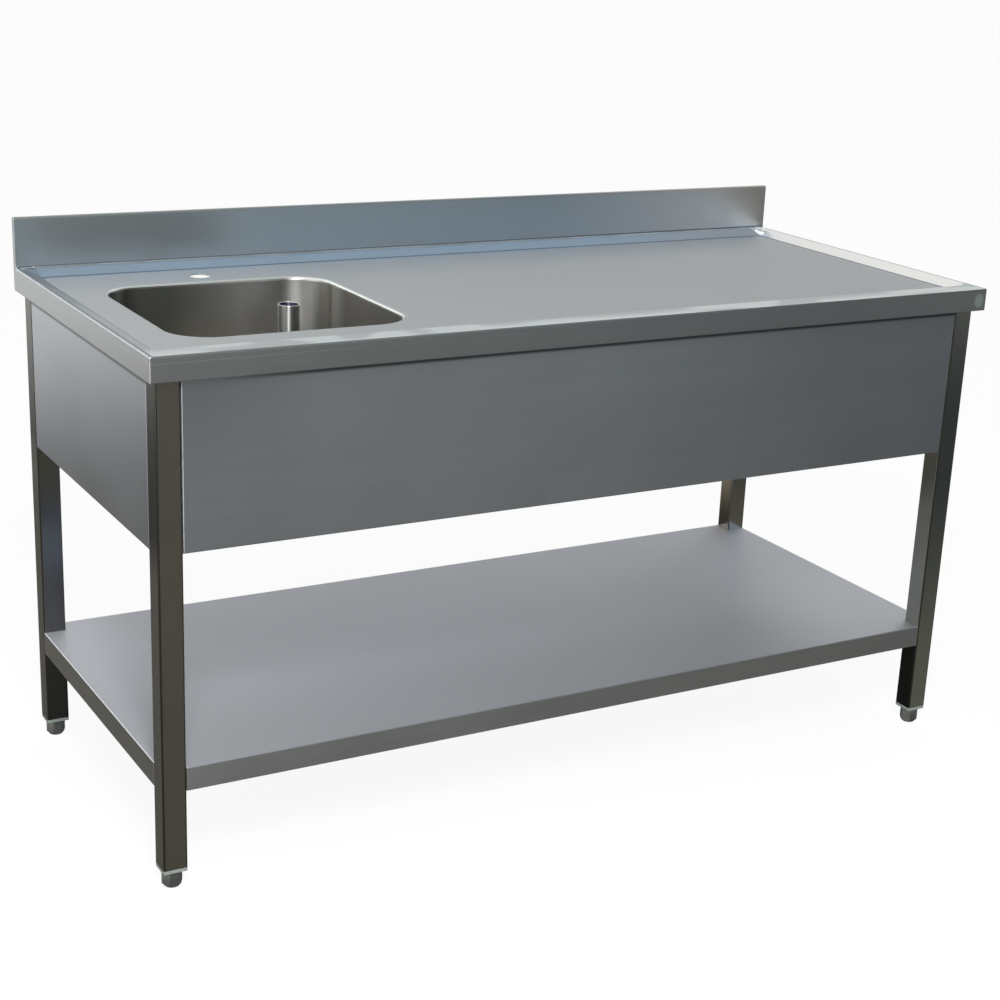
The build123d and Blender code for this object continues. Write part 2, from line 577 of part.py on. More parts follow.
def shelf_stiffener():
    """Channel welded along the middle of the shelf's underside."""
    half_length = LEG_X + LEG_SIZE / 2 - SHELF_SHEET - SLIP_GAP
    half_width = SHELF_STIFFENER_WIDTH / 2
    top = SHELF_HEIGHT - SHELF_SHEET
    low = top - SHELF_STIFFENER_HEIGHT
    ends = (-half_length, half_length)
    middle = LEG_MIDDLE_Y
    channel = block(ends, (middle - half_width, middle + half_width), (low, top))
    inside = half_width - SHELF_SHEET
    return channel - block(ends, (middle - inside, middle + inside), (low + SHELF_SHEET, top))


def all_nodes():
    """Every piece of the table under its node's name."""
    nodes = {
        "worktop": worktop(),
        "bowl": bowl(),
        "drain_fitting": drain_fitting(),
        "drain_gasket": drain_gasket(),
        "drain_backnut": drain_backnut(),
        "standpipe_tube": standpipe_tube(),
        "standpipe_plug": standpipe_plug(),
        "left_cross_rail": leg_rail(-LEG_X),
        "right_cross_rail": leg_rail(LEG_X),
        "middle_cross_rail": middle_rail(),
        "rail_bolts": rail_bolts(),
        "front_apron": front_apron(),
        "left_apron": side_apron(-1),
        "right_apron": side_apron(1),
        "back_rail": back_rail(),
        "apron_bolts": bolts(front_apron_seats() + side_apron_seats(), APRON_SHEET),
        "back_rail_bolts": bolts(back_rail_seats(), APRON_SHEET),
        "shelf": shelf(),
        "shelf_stiffener": shelf_stiffener(),
        "shelf_bolts": bolts(shelf_seats(), SHELF_SHEET),
        "rivet_nuts": rivet_nuts(),
    }
    for name in LEGS:
        nodes[f"{name}_leg"] = leg(name)
        nodes[f"{name}_leg_plate"] = leg_top_plate(name)
        nodes[f"{name}_foot_insert"] = foot_insert(name)
        nodes[f"{name}_foot"] = foot(name)
        nodes[f"{name}_glide"] = glide(name)
    return nodes


os.makedirs("parts", exist_ok=True)
for node, shape in all_nodes().items():
    export_step(shape, f"parts/{node}.step")
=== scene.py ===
import json
import math

import bmesh
import bpy
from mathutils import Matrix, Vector


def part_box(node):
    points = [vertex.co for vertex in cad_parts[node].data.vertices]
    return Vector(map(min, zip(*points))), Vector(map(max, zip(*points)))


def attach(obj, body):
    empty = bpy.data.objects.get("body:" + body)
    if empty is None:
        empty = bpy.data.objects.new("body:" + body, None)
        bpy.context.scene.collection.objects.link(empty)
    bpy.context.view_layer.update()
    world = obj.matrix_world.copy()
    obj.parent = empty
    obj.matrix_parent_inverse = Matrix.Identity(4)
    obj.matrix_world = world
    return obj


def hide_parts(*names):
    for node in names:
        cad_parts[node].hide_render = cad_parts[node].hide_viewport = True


# Stainless sink table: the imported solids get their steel, rubber and plastic here, and the screw feet and
# small welds are modelled on top of them. Metres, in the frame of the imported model.

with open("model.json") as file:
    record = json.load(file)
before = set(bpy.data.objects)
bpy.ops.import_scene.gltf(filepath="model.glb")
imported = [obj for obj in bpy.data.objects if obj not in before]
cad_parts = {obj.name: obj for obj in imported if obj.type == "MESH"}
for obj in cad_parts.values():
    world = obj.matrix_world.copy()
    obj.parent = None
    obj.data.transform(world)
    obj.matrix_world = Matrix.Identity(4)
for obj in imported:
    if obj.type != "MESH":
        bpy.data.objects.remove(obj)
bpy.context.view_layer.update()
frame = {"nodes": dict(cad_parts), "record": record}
nodes = frame["nodes"]

MM = 0.001
LEG_NAMES = ("front_left", "front_right", "back_left", "back_right")
SIDE_APRONS = ("left_apron", "right_apron")

# Places on the table

RIM_RISE = 12 * MM
SPLASH_THICKNESS = 12 * MM
SKIRT_DEPTH = 40 * MM
bowl_low, bowl_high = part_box("bowl")
worktop_low, worktop_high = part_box("worktop")
apron_low, apron_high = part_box("front_apron")
DISH_LEVEL = bowl_high[2]
RIM_LEVEL = DISH_LEVEL + RIM_RISE
SKIRT_BOTTOM = RIM_LEVEL - SKIRT_DEPTH
SPLASH_FACE = worktop_high[1] - SPLASH_THICKNESS
SHELF_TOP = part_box("shelf")[1][2]


# Colours and nodes

def linear(colour):
    """A colour written as sRGB hex, as linear red, green, blue and alpha."""
    channels = [int(colour[place:place + 2], 16) / 255 for place in (1, 3, 5)]
    return tuple(c / 12.92 if c <= 0.04045 else ((c + 0.055) / 1.055) ** 2.4 for c in channels) + (1.0,)


def add(tree, kind, inputs=None, **settings):
    """One node with its own settings, and for each input a value or the output that feeds it."""
    node = tree.nodes.new(kind)
    for name, value in settings.items():
        setattr(node, name, value)
    for name, value in (inputs or {}).items():
        if isinstance(value, bpy.types.NodeSocket):
            tree.links.new(value, node.inputs[name])
        else:
            node.inputs[name].default_value = value
    return node


def new_material(name):
    """An empty node material, its tree and its output node."""
    material = bpy.data.materials.new(name)
    material.use_nodes = True
    material.node_tree.nodes.clear()
    return material, material.node_tree, add(material.node_tree, "ShaderNodeOutputMaterial")


def object_axes(tree):
    """Object coordinates, as one vector and as X, Y and Z."""
    place = add(tree, "ShaderNodeTexCoord").outputs["Object"]
    return place, add(tree, "ShaderNodeSeparateXYZ", {0: place}).outputs


# Brushed stainless steel

BELT_LINE_LENGTH = 260 * MM
BELT_LINE_WIDTH = 1.6 * MM
BELT_BAND_LENGTH = 4 * BELT_LINE_LENGTH
BELT_BAND_WIDTH = 16 * BELT_LINE_WIDTH
BELT_CLOUD = 180 * MM
FOLD_SOFTNESS = 1.2 * MM
BAND_EDGE = (0.35, 0.65)
PASS_RANGE = (0.6, 1.4)
TONE_SPREAD = 0.04
GLOSS_SPREAD = 0.02
LINE_BUMP = 0.005
LINE_DEPTH = 0.1 * MM
ALONG_X, ALONG_Y, ALONG_Z = range(3)
# The belt's direction for lines along X, Y and Z, a little aslant so that no face lies square to it
BELT_DIRECTIONS = ((1.0, 0.01, 0.02), (0.01, 1.0, 0.02), (0.01, 0.02, 1.0))


def brushed_steel(name, tones, along, roughness, anisotropy):
    """Stainless sheet or tube brushed with a belt: fine lines that stretch the reflections across them.

    Real belt lines are about 0.1 mm wide. They are drawn 1.6 mm wide, near a pixel, so that they show.
    The second tone lies in long bands, as the belt's passes leave it.
    """
    material, tree, output = new_material(name)
    place = object_axes(tree)[0]
    line_scale = [1 / BELT_LINE_WIDTH] * 3
    line_scale[along] = 1 / BELT_LINE_LENGTH
    band_scale = [1 / BELT_BAND_WIDTH] * 3
    band_scale[along] = 1 / BELT_BAND_LENGTH
    lines_place = add(tree, "ShaderNodeMapping", {"Vector": place, "Scale": line_scale})
    lines = add(tree, "ShaderNodeTexNoise", {"Vector": lines_place.outputs[0], "Scale": 1.0, "Detail": 3.0})
    bands_place = add(tree, "ShaderNodeMapping", {"Vector": place, "Scale": band_scale})
    bands = add(tree, "ShaderNodeTexNoise", {"Vector": bands_place.outputs[0], "Scale": 1.0, "Detail": 1.0})
    clouds = add(tree, "ShaderNodeTexNoise", {"Vector": place, "Scale": 1 / BELT_CLOUD, "Detail": 1.0})
    passes = add(tree, "ShaderNodeMath", {0: lines.outputs["Fac"], 1: clouds.outputs["Fac"]}, operation="ADD")
    band_share = add(
        tree,
        "ShaderNodeMapRange",
        {"Value": bands.outputs["Fac"], "From Min": BAND_EDGE[0], "From Max": BAND_EDGE[1]},
    )
    tone = add(
        tree,
        "ShaderNodeMix",
        {"Factor": band_share.outputs[0], "A": linear(tones[0]), "B": linear(tones[1])},
        data_type="RGBA",
    )
    shade = add(
        tree,
        "ShaderNodeMapRange",
        {
            "Value": passes.outputs[0],
            "From Min": PASS_RANGE[0],
            "From Max": PASS_RANGE[1],
            "To Min": 1 - TONE_SPREAD,
            "To Max": 1 + TONE_SPREAD,
        },
    )
    tint = add(
        tree,
        "ShaderNodeVectorMath",
        {0: tone.outputs["Result"], "Scale": shade.outputs[0]},
        operation="SCALE",
    )
    gloss = add(
        tree,
        "ShaderNodeMapRange",
        {
            "Value": passes.outputs[0],
            "From Min": PASS_RANGE[0],
            "From Max": PASS_RANGE[1],
            "To Min": roughness - GLOSS_SPREAD,
            "To Max": roughness + GLOSS_SPREAD,
        },
    )
    # sharp folds catch a thin line of light, as the bent sheet does
    folds = add(tree, "ShaderNodeBevel", {"Radius": FOLD_SOFTNESS}, samples=6)
    bump = add(
        tree,
        "ShaderNodeBump",
        {
            "Height": lines.outputs["Fac"],
            "Strength": LINE_BUMP,
            "Distance": LINE_DEPTH,
            "Normal": folds.outputs[0],
        },
    )
    facing = add(tree, "ShaderNodeNewGeometry").outputs["Normal"]
    across = add(
        tree, "ShaderNodeVectorMath", {0: facing, 1: BELT_DIRECTIONS[along]}, operation="CROSS_PRODUCT"
    )
    steel = add(
        tree,
        "ShaderNodeBsdfPrincipled",
        {
            "Base Color": tint.outputs[0],
            "Metallic": 1.0,
            "Roughness": gloss.outputs[0],
            "Anisotropic": anisotropy,
            "Tangent": across.outputs[0],
            "Normal": bump.outputs[0],
        },
    )
    tree.links.new(steel.outputs[0], output.inputs["Surface"])
    return material, steel


def finish_where(shader, masks, tone, duller=None):
    """Lay another tone over the metal where all of the masks are 1, and scour it duller there if asked."""
    tree = shader.id_data
    share = masks[0].outputs[0]
    for mask in masks[1:]:
        share = add(tree, "ShaderNodeMath", {0: share, 1: mask.outputs[0]}, operation="MULTIPLY").outputs[0]
    base = shader.inputs["Base Color"]
    before = base.links[0].from_socket if base.links else tuple(base.default_value)
    toned = add(tree, "ShaderNodeMix", {"Factor": share, "A": before, "B": linear(tone)}, data_type="RGBA")
    tree.links.new(toned.outputs["Result"], base)
    if duller is not None:
        gloss = shader.inputs["Roughness"]
        brushed = gloss.links[0].from_socket
        scoured = add(tree, "ShaderNodeMath", {0: share, 1: duller, 2: brushed}, operation="MULTIPLY_ADD")
        tree.links.new(scoured.outputs[0], gloss)


# Worktop

WORKTOP_TONES = ("#BABCBC", "#B7BABA")
DISH_TONE = "#B3B6B7"
SCOURED = 0.16
LEVEL_SLACK = 0.3 * MM
RIM_SLACK = 0.6 * MM
RIM_LIGHT_TONE = "#C6CACA"
RIM_HIGHLIGHT_TONE = "#E2E9E7"
RIM_HIGHLIGHT_PATCH = 110 * MM
RIM_HIGHLIGHT_EDGE = (0.44, 0.52)


def dish_and_rim(shader):
    """Scour the dish duller than the folds round it; paint the rim lighter, with random near-white patches of
    painted highlight.
    """
    tree = shader.id_data
    place, axes = object_axes(tree)
    dish = add(tree, "ShaderNodeMath", {0: axes["Z"], 1: DISH_LEVEL, 2: LEVEL_SLACK}, operation="COMPARE")
    finish_where(shader, [dish], DISH_TONE, duller=SCOURED)
    # the rim is painted lighter, a painted highlight
    rim = add(tree, "ShaderNodeMath", {0: axes["Z"], 1: RIM_LEVEL, 2: RIM_SLACK}, operation="COMPARE")
    finish_where(shader, [rim], RIM_LIGHT_TONE)
    # random patches of painted highlight, near white, along the rim
    highlight_patches_place = add(tree, "ShaderNodeMapping", {"Vector": place, "Scale": [1 / RIM_HIGHLIGHT_PATCH] * 3})
    highlight_patches = add(tree, "ShaderNodeTexNoise", {"Vector": highlight_patches_place.outputs[0], "Scale": 1.0, "Detail": 0.0})
    rim_highlight = add(
        tree,
        "ShaderNodeMapRange",
        {"Value": highlight_patches.outputs["Fac"], "From Min": RIM_HIGHLIGHT_EDGE[0], "From Max": RIM_HIGHLIGHT_EDGE[1]},
    )
    finish_where(shader, [rim_highlight, rim], RIM_HIGHLIGHT_TONE)


SLOPE_MIDDLE = (DISH_LEVEL + RIM_LEVEL) / 2
SLOPE_HALF_HEIGHT = 5.8 * MM
SLOPE_HALF_WIDTH = 14.8 * MM
SLOPE_FROM_END = 20 * MM
SLOPE_BACK = SPLASH_FACE + 2 * MM
# Each painted stretch of light or shade on an end slope: the slope's middle in X, where its tone starts and
# is full in Y, and the tone
PAINTED_SLOPE_LIGHTS = (
    (worktop_high[0] - SLOPE_FROM_END, -1.0, -0.9, "#ECECE9"),
    (worktop_low[0] + SLOPE_FROM_END, 0.10, 0.25, "#A8A6A2"),
    (worktop_low[0] + SLOPE_FROM_END, 0.10, -0.06, "#D2D4D4"),
)


def painted_slope_light(shader):
    """Paint light on the slopes at the two ends: the right one is a white strip of painted reflection, the
    left one has painted shade at its back and painted light in front.
    """
    tree = shader.id_data
    axes = object_axes(tree)[1]
    height = add(
        tree, "ShaderNodeMath", {0: axes["Z"], 1: SLOPE_MIDDLE, 2: SLOPE_HALF_HEIGHT}, operation="COMPARE"
    )
    depth = add(tree, "ShaderNodeMath", {0: axes["Y"], 1: 0.0, 2: SLOPE_BACK}, operation="COMPARE")
    # painted reflection on the right slope, painted shade and painted light on the left slope
    for middle, start, full, tone in PAINTED_SLOPE_LIGHTS:
        width = add(
            tree, "ShaderNodeMath", {0: axes["X"], 1: middle, 2: SLOPE_HALF_WIDTH}, operation="COMPARE"
        )
        share = add(tree, "ShaderNodeMapRange", {"Value": axes["Y"], "From Min": start, "From Max": full})
        finish_where(shader, [share, width, height, depth], tone)


SPLASH_SHADE_TONE = "#A0A6A6"
SPLASH_END_LIGHT_TONE = "#CAC7C2"
SPLASH_END_DULLER = 0.2
SPLASH_END_START = 200 * MM
SPLASH_END_FULL = worktop_high[0] - 40 * MM
SPLASH_FRONT = SPLASH_FACE - 0.5 * MM
SPLASH_FOOT = RIM_LEVEL + 4 * MM


def painted_splashback_light(shader):
    """Paint shade over the splashback's face, and painted light towards its right end, which is also brushed
    coarser.
    """
    tree = shader.id_data
    axes = object_axes(tree)[1]
    # painted shade over the splashback's face
    depth = add(tree, "ShaderNodeMath", {0: axes["Y"], 1: SPLASH_FRONT}, operation="GREATER_THAN")
    height = add(tree, "ShaderNodeMath", {0: axes["Z"], 1: SPLASH_FOOT}, operation="GREATER_THAN")
    finish_where(shader, [depth, height], SPLASH_SHADE_TONE)
    # painted light towards the right end, which is also brushed coarser
    right_end = add(
        tree,
        "ShaderNodeMapRange",
        {"Value": axes["X"], "From Min": SPLASH_END_START, "From Max": SPLASH_END_FULL},
        interpolation_type="SMOOTHSTEP",
    )
    finish_where(shader, [depth, height, right_end], SPLASH_END_LIGHT_TONE, duller=SPLASH_END_DULLER)


END_SKIRT_SHADE_TONE = "#AAACAC"
END_RIM_SHADE_TONE = "#9A9EA0"
END_SKIRT_FROM = worktop_high[0] - 1 * MM
END_RIM_FROM = worktop_high[0] - 6 * MM
END_RIM_SLACK = 3 * MM


def painted_end_shade(shader):
    """Paint shade on the skirts at the two ends, and on the narrow rim over them, a shade darker than the
    front.
    """
    tree = shader.id_data
    axes = object_axes(tree)[1]
    # painted shade on the end skirts and on the narrow rim over them
    from_middle = add(tree, "ShaderNodeMath", {0: axes["X"]}, operation="ABSOLUTE").outputs[0]
    skirt = add(tree, "ShaderNodeMath", {0: from_middle, 1: END_SKIRT_FROM}, operation="GREATER_THAN")
    finish_where(shader, [skirt], END_SKIRT_SHADE_TONE)
    strip = add(tree, "ShaderNodeMath", {0: from_middle, 1: END_RIM_FROM}, operation="GREATER_THAN")
    top = add(tree, "ShaderNodeMath", {0: axes["Z"], 1: RIM_LEVEL, 2: END_RIM_SLACK}, operation="COMPARE")
    finish_where(shader, [strip, top], END_RIM_SHADE_TONE)


FOLD_SHADE_TONE = "#7E848C"
FRONT_FOLD_SHADE_TONE = "#9CA0A2"
FOLDS_HALF_LENGTH = worktop_high[0] - 4 * MM
# Each fold with painted shade: its height and half height, its depth and half depth, and its tone
FOLD_SHADES = (
    (DISH_LEVEL + 0.9 * MM, 0.6 * MM, 0.0, SLOPE_BACK, FOLD_SHADE_TONE),
    (RIM_LEVEL + 2.2 * MM, 1.2 * MM, SPLASH_FACE, 5.5 * MM, FOLD_SHADE_TONE),
    (RIM_LEVEL - 1.6 * MM, 1.2 * MM, worktop_low[1], 2 * MM, FRONT_FOLD_SHADE_TONE),
)


def painted_fold_shade(shader):
    """Paint shade along the folds round the dish and at the splashback's foot, and along the front fold."""
    tree = shader.id_data
    axes = object_axes(tree)[1]
    # painted shade along each fold
    inside = add(tree, "ShaderNodeMath", {0: axes["X"], 1: 0.0, 2: FOLDS_HALF_LENGTH}, operation="COMPARE")
    for level, half_height, depth, half_depth, tone in FOLD_SHADES:
        at_level = add(tree, "ShaderNodeMath", {0: axes["Z"], 1: level, 2: half_height}, operation="COMPARE")
        at_depth = add(tree, "ShaderNodeMath", {0: axes["Y"], 1: depth, 2: half_depth}, operation="COMPARE")
        finish_where(shader, [at_level, at_depth, inside], tone)


GROUND_ROUGHNESS = 0.5
GROUND_EDGE = (1.0, 0.75)
# Each ground weld, by the front skirt's right end and at the rim's back corner: middle, half sizes and tone
GROUND_WELDS = (
    (
        (worktop_high[0] - 18 * MM, worktop_low[1], RIM_LEVEL - 21 * MM),
        (12 * MM, 6 * MM, 15 * MM),
        "#D2DCD4",
    ),
    (
        (worktop_high[0] - 16 * MM, SPLASH_FACE - 12 * MM, RIM_LEVEL - 2 * MM),
        (15 * MM, 13 * MM, 9 * MM),
        "#FFFFFF",
    ),
)


def ground_welds(shader):
    """Grind an oval over each weld with a disc: bright and even."""
    tree = shader.id_data
    place = object_axes(tree)[0]
    for middle, half_size, tone in GROUND_WELDS:
        oval_place = add(
            tree,
            "ShaderNodeMapping",
            {"Vector": place, "Location": middle, "Scale": half_size},
            vector_type="TEXTURE",
        )
        distance = add(tree, "ShaderNodeVectorMath", {0: oval_place.outputs[0]}, operation="LENGTH")
        oval = add(
            tree,
            "ShaderNodeMapRange",
            {"Value": distance.outputs["Value"], "From Min": GROUND_EDGE[0], "From Max": GROUND_EDGE[1]},
        )
        finish_where(shader, [oval], tone)
        gloss = shader.inputs["Roughness"]
        brushed = gloss.links[0].from_socket
        ground = add(
            tree,
            "ShaderNodeMapRange",
            {"Value": oval.outputs[0], "To Min": brushed, "To Max": GROUND_ROUGHNESS},
        )
        tree.links.new(ground.outputs[0], gloss)


def worktop_finish():
    """Brushed worktop: a duller dish, painted highlight on the rim, painted light and shade on the end
    slopes, splashback and end skirts, painted shade in the folds, and two ground welds.
    """
    material, shader = brushed_steel(
        "brushed stainless worktop", WORKTOP_TONES, ALONG_X, roughness=0.31, anisotropy=0.6
    )
    dish_and_rim(shader)
    painted_slope_light(shader)
    painted_splashback_light(shader)
    painted_end_shade(shader)
    painted_fold_shade(shader)
    ground_welds(shader)
    return material


# Bowl

BOWL_TONE = "#C0BEBA"
LEFT_WALL_SHADE_TONE = "#70736D"
LOW_WALL_REFLECTION_TONE = "#ACA498"
CORNER_TOP_SHADE_TONE = "#9A9A96"
RIGHT_WALL_SHADE_TONE = "#7C7A75"
RIGHT_WALL_BACK_LIGHT_TONE = "#B0AEA7"
MOUTH_HIGHLIGHT_TONE = "#E4E8E6"
MOUTH_MIDDLE = DISH_LEVEL - 1.5 * MM
MOUTH_HALF_HEIGHT = 1.2 * MM
FLANGE_SCOURED = 0.11
# Where each painted light or shade on the walls starts and where it is full
LEFT_WALL_REACH = (bowl_low[0] + 330 * MM, bowl_low[0] + 120 * MM)
LOW_WALL_LEFT = (bowl_low[0] + 100 * MM, bowl_low[0] + 190 * MM)
LOW_WALL_RIGHT = (bowl_low[0] + 330 * MM, bowl_low[0] + 250 * MM)
LOW_WALL_HEIGHT = (DISH_LEVEL - 40 * MM, DISH_LEVEL - 150 * MM)
CORNER_REACH = (bowl_low[0] + 305 * MM, bowl_low[0] + 345 * MM)
CORNER_HEIGHT = (DISH_LEVEL - 80 * MM, DISH_LEVEL)
RIGHT_WALL_REACH = (bowl_high[0] - 30 * MM, bowl_high[0] - 18 * MM)
RIGHT_WALL_BACK = (bowl_high[1] - 145 * MM, bowl_high[1] - 90 * MM)


def painted_bowl_left_light(shader):
    """Painted shade darkens the left end of the walls, and a painted reflection makes the back wall warmer
    and brighter low down.
    """
    tree = shader.id_data
    axes = object_axes(tree)[1]
    # painted shade at the left end of the walls
    left_end = add(
        tree,
        "ShaderNodeMapRange",
        {"Value": axes["X"], "From Min": LEFT_WALL_REACH[0], "From Max": LEFT_WALL_REACH[1]},
        interpolation_type="SMOOTHSTEP",
    )
    finish_where(shader, [left_end], LEFT_WALL_SHADE_TONE)
    # painted reflection, warm and bright, low on the back wall
    low_start = add(
        tree,
        "ShaderNodeMapRange",
        {"Value": axes["X"], "From Min": LOW_WALL_LEFT[0], "From Max": LOW_WALL_LEFT[1]},
        interpolation_type="SMOOTHSTEP",
    )
    low_end = add(
        tree,
        "ShaderNodeMapRange",
        {"Value": axes["X"], "From Min": LOW_WALL_RIGHT[0], "From Max": LOW_WALL_RIGHT[1]},
        interpolation_type="SMOOTHSTEP",
    )
    low_down = add(
        tree,
        "ShaderNodeMapRange",
        {"Value": axes["Z"], "From Min": LOW_WALL_HEIGHT[0], "From Max": LOW_WALL_HEIGHT[1]},
    )
    finish_where(shader, [low_start, low_end, low_down], LOW_WALL_REFLECTION_TONE)


def painted_bowl_right_light(shader):
    """Painted shade makes the right wall and the top of its corner a little darker, and painted light makes
    the wall's back end lighter.
    """
    tree = shader.id_data
    axes = object_axes(tree)[1]
    # painted shade on the top of the right corner
    corner = add(
        tree,
        "ShaderNodeMapRange",
        {"Value": axes["X"], "From Min": CORNER_REACH[0], "From Max": CORNER_REACH[1]},
    )
    corner_top = add(
        tree,
        "ShaderNodeMapRange",
        {"Value": axes["Z"], "From Min": CORNER_HEIGHT[0], "From Max": CORNER_HEIGHT[1]},
    )
    finish_where(shader, [corner, corner_top], CORNER_TOP_SHADE_TONE)
    # painted shade on the right wall, and painted light at its back end
    wall = add(
        tree,
        "ShaderNodeMapRange",
        {"Value": axes["X"], "From Min": RIGHT_WALL_REACH[0], "From Max": RIGHT_WALL_REACH[1]},
    )
    finish_where(shader, [wall], RIGHT_WALL_SHADE_TONE)
    wall_back = add(
        tree,
        "ShaderNodeMapRange",
        {"Value": axes["Y"], "From Min": RIGHT_WALL_BACK[0], "From Max": RIGHT_WALL_BACK[1]},
        interpolation_type="SMOOTHSTEP",
    )
    finish_where(shader, [wall_back, wall], RIGHT_WALL_BACK_LIGHT_TONE)


def bowl_finish():
    """Deep-drawn bowl, satin polished: painted light and shade on the walls, a painted highlight along the
    rolled mouth, and a flange scoured like the dish round it.
    """
    material, shader = brushed_steel(
        "satin stainless bowl", (BOWL_TONE, BOWL_TONE), ALONG_X, roughness=0.36, anisotropy=0.6
    )
    painted_bowl_left_light(shader)
    painted_bowl_right_light(shader)
    tree = shader.id_data
    level = object_axes(tree)[1]["Z"]
    # painted highlight along the rolled mouth
    mouth = add(
        tree, "ShaderNodeMath", {0: level, 1: MOUTH_MIDDLE, 2: MOUTH_HALF_HEIGHT}, operation="COMPARE"
    )
    finish_where(shader, [mouth], MOUTH_HIGHLIGHT_TONE)
    flange = add(tree, "ShaderNodeMath", {0: level, 1: DISH_LEVEL, 2: LEVEL_SLACK}, operation="COMPARE")
    finish_where(shader, [flange], DISH_TONE, duller=FLANGE_SCOURED)
    return material


# Shelf, legs and aprons

SHELF_TONES = ("#C2C4C6", "#C0C2C5")
SHELF_TOP_TONE = "#C3C5CA"
SHELF_END_SHADE_TONE = "#86847D"
# A face counts as turned to a side between these shares of its normal
TURNED_START = 0.7
TURNED_FULL = 0.95


def shelf_finish():
    """Brushed shelf with a scoured, duller top and painted shade on its ends."""
    material, shader = brushed_steel(
        "brushed stainless shelf", SHELF_TONES, ALONG_X, roughness=0.40, anisotropy=0.6
    )
    tree = material.node_tree
    level = object_axes(tree)[1]["Z"]
    top = add(tree, "ShaderNodeMath", {0: level, 1: SHELF_TOP, 2: LEVEL_SLACK}, operation="COMPARE")
    finish_where(shader, [top], SHELF_TOP_TONE, duller=SCOURED)
    # painted shade on the shelf's ends, the faces turned to the sides
    facing = add(tree, "ShaderNodeNewGeometry").outputs["True Normal"]
    towards = add(tree, "ShaderNodeSeparateXYZ", {0: facing}).outputs
    sideways = add(tree, "ShaderNodeMath", {0: towards["X"]}, operation="ABSOLUTE").outputs[0]
    end = add(
        tree, "ShaderNodeMapRange", {"Value": sideways, "From Min": TURNED_START, "From Max": TURNED_FULL}
    )
    finish_where(shader, [end], SHELF_END_SHADE_TONE)
    return material


TUBE_TONES = ("#B0AFA8", "#B0A9A2")
LEG_SIDE_SHADE_TONE = "#A8A498"
LEG_HIGH_SIDE_SHADE_TONE = "#5C5C56"
BACK_LEFT_SHADE_TONE = "#68686A"
BACK_LEFT_TOP_SHADE_TONE = "#8A8A80"
FRONT_RIGHT_SIDE_SHADE_TONE = "#7A7B74"
FRONT_RIGHT_SHADE_TONE = "#9A9C98"
FRONT_RIGHT_LOW_LIGHT_TONE = "#C6C8C2"
LEG_CORNER_SHADE_TONE = "#6E6C66"
# Where each painted light or shade up the legs starts and where it is full
LEG_HIGH = (SHELF_TOP + 310 * MM, SHELF_TOP + 380 * MM)
LEG_UNDER_APRON = (SHELF_TOP + 230 * MM, SHELF_TOP + 330 * MM)
LEG_LOW = (SHELF_TOP + 300 * MM, SHELF_TOP - 60 * MM)
# Y less X is over this on the back left leg, and under minus this on the front right leg
DIAGONAL = 0.8
# The share of a corner's normal that points sideways: its middle and how far it goes either way
CORNER_TURN = 0.5
CORNER_TURN_REACH = 0.45


def leg_finish():
    """Brushed square tube, with painted shade on its sides, most of it high up, and on its corners.

    The back left leg's front and the front right leg's front and side have painted light and shade of their
    own.
    """
    material, shader = brushed_steel(
        "brushed stainless tube", TUBE_TONES, ALONG_Z, roughness=0.24, anisotropy=0.3
    )
    tree = material.node_tree
    axes = object_axes(tree)[1]
    facing = add(tree, "ShaderNodeNewGeometry").outputs["True Normal"]
    towards = add(tree, "ShaderNodeSeparateXYZ", {0: facing}).outputs
    sideways = add(tree, "ShaderNodeMath", {0: towards["X"]}, operation="ABSOLUTE").outputs[0]
    # painted shade on the sides, deepest high up
    side = add(
        tree, "ShaderNodeMapRange", {"Value": sideways, "From Min": TURNED_START, "From Max": TURNED_FULL}
    )
    finish_where(shader, [side], LEG_SIDE_SHADE_TONE)
    high = add(
        tree,
        "ShaderNodeMapRange",
        {"Value": axes["Z"], "From Min": LEG_HIGH[0], "From Max": LEG_HIGH[1]},
    )
    finish_where(shader, [side, high], LEG_HIGH_SIDE_SHADE_TONE)
    front = add(
        tree,
        "ShaderNodeMapRange",
        {"Value": towards["Y"], "From Min": -TURNED_START, "From Max": -TURNED_FULL},
    )
    # painted shade on the back left leg's front over the shelf, less of it under the apron
    diagonal = add(tree, "ShaderNodeMath", {0: axes["Y"], 1: axes["X"]}, operation="SUBTRACT").outputs[0]
    back_left = add(tree, "ShaderNodeMath", {0: diagonal, 1: DIAGONAL}, operation="GREATER_THAN")
    over_shelf = add(tree, "ShaderNodeMath", {0: axes["Z"], 1: SHELF_TOP}, operation="GREATER_THAN")
    finish_where(shader, [front, back_left, over_shelf], BACK_LEFT_SHADE_TONE)
    under_apron = add(
        tree,
        "ShaderNodeMapRange",
        {"Value": axes["Z"], "From Min": LEG_UNDER_APRON[0], "From Max": LEG_UNDER_APRON[1]},
    )
    finish_where(shader, [front, back_left, over_shelf, under_apron], BACK_LEFT_TOP_SHADE_TONE)
    # painted shade on the front right leg's side and front, and painted light low on its front
    front_right = add(tree, "ShaderNodeMath", {0: diagonal, 1: -DIAGONAL}, operation="LESS_THAN")
    finish_where(shader, [front_right, side], FRONT_RIGHT_SIDE_SHADE_TONE)
    finish_where(shader, [front_right, front], FRONT_RIGHT_SHADE_TONE)
    low = add(
        tree,
        "ShaderNodeMapRange",
        {"Value": axes["Z"], "From Min": LEG_LOW[0], "From Max": LEG_LOW[1]},
    )
    finish_where(shader, [front_right, front, low], FRONT_RIGHT_LOW_LIGHT_TONE)
    # painted shade on the rounded corners
    corner = add(
        tree, "ShaderNodeMath", {0: sideways, 1: CORNER_TURN, 2: CORNER_TURN_REACH}, operation="COMPARE"
    )
    finish_where(shader, [corner], LEG_CORNER_SHADE_TONE)
    return material


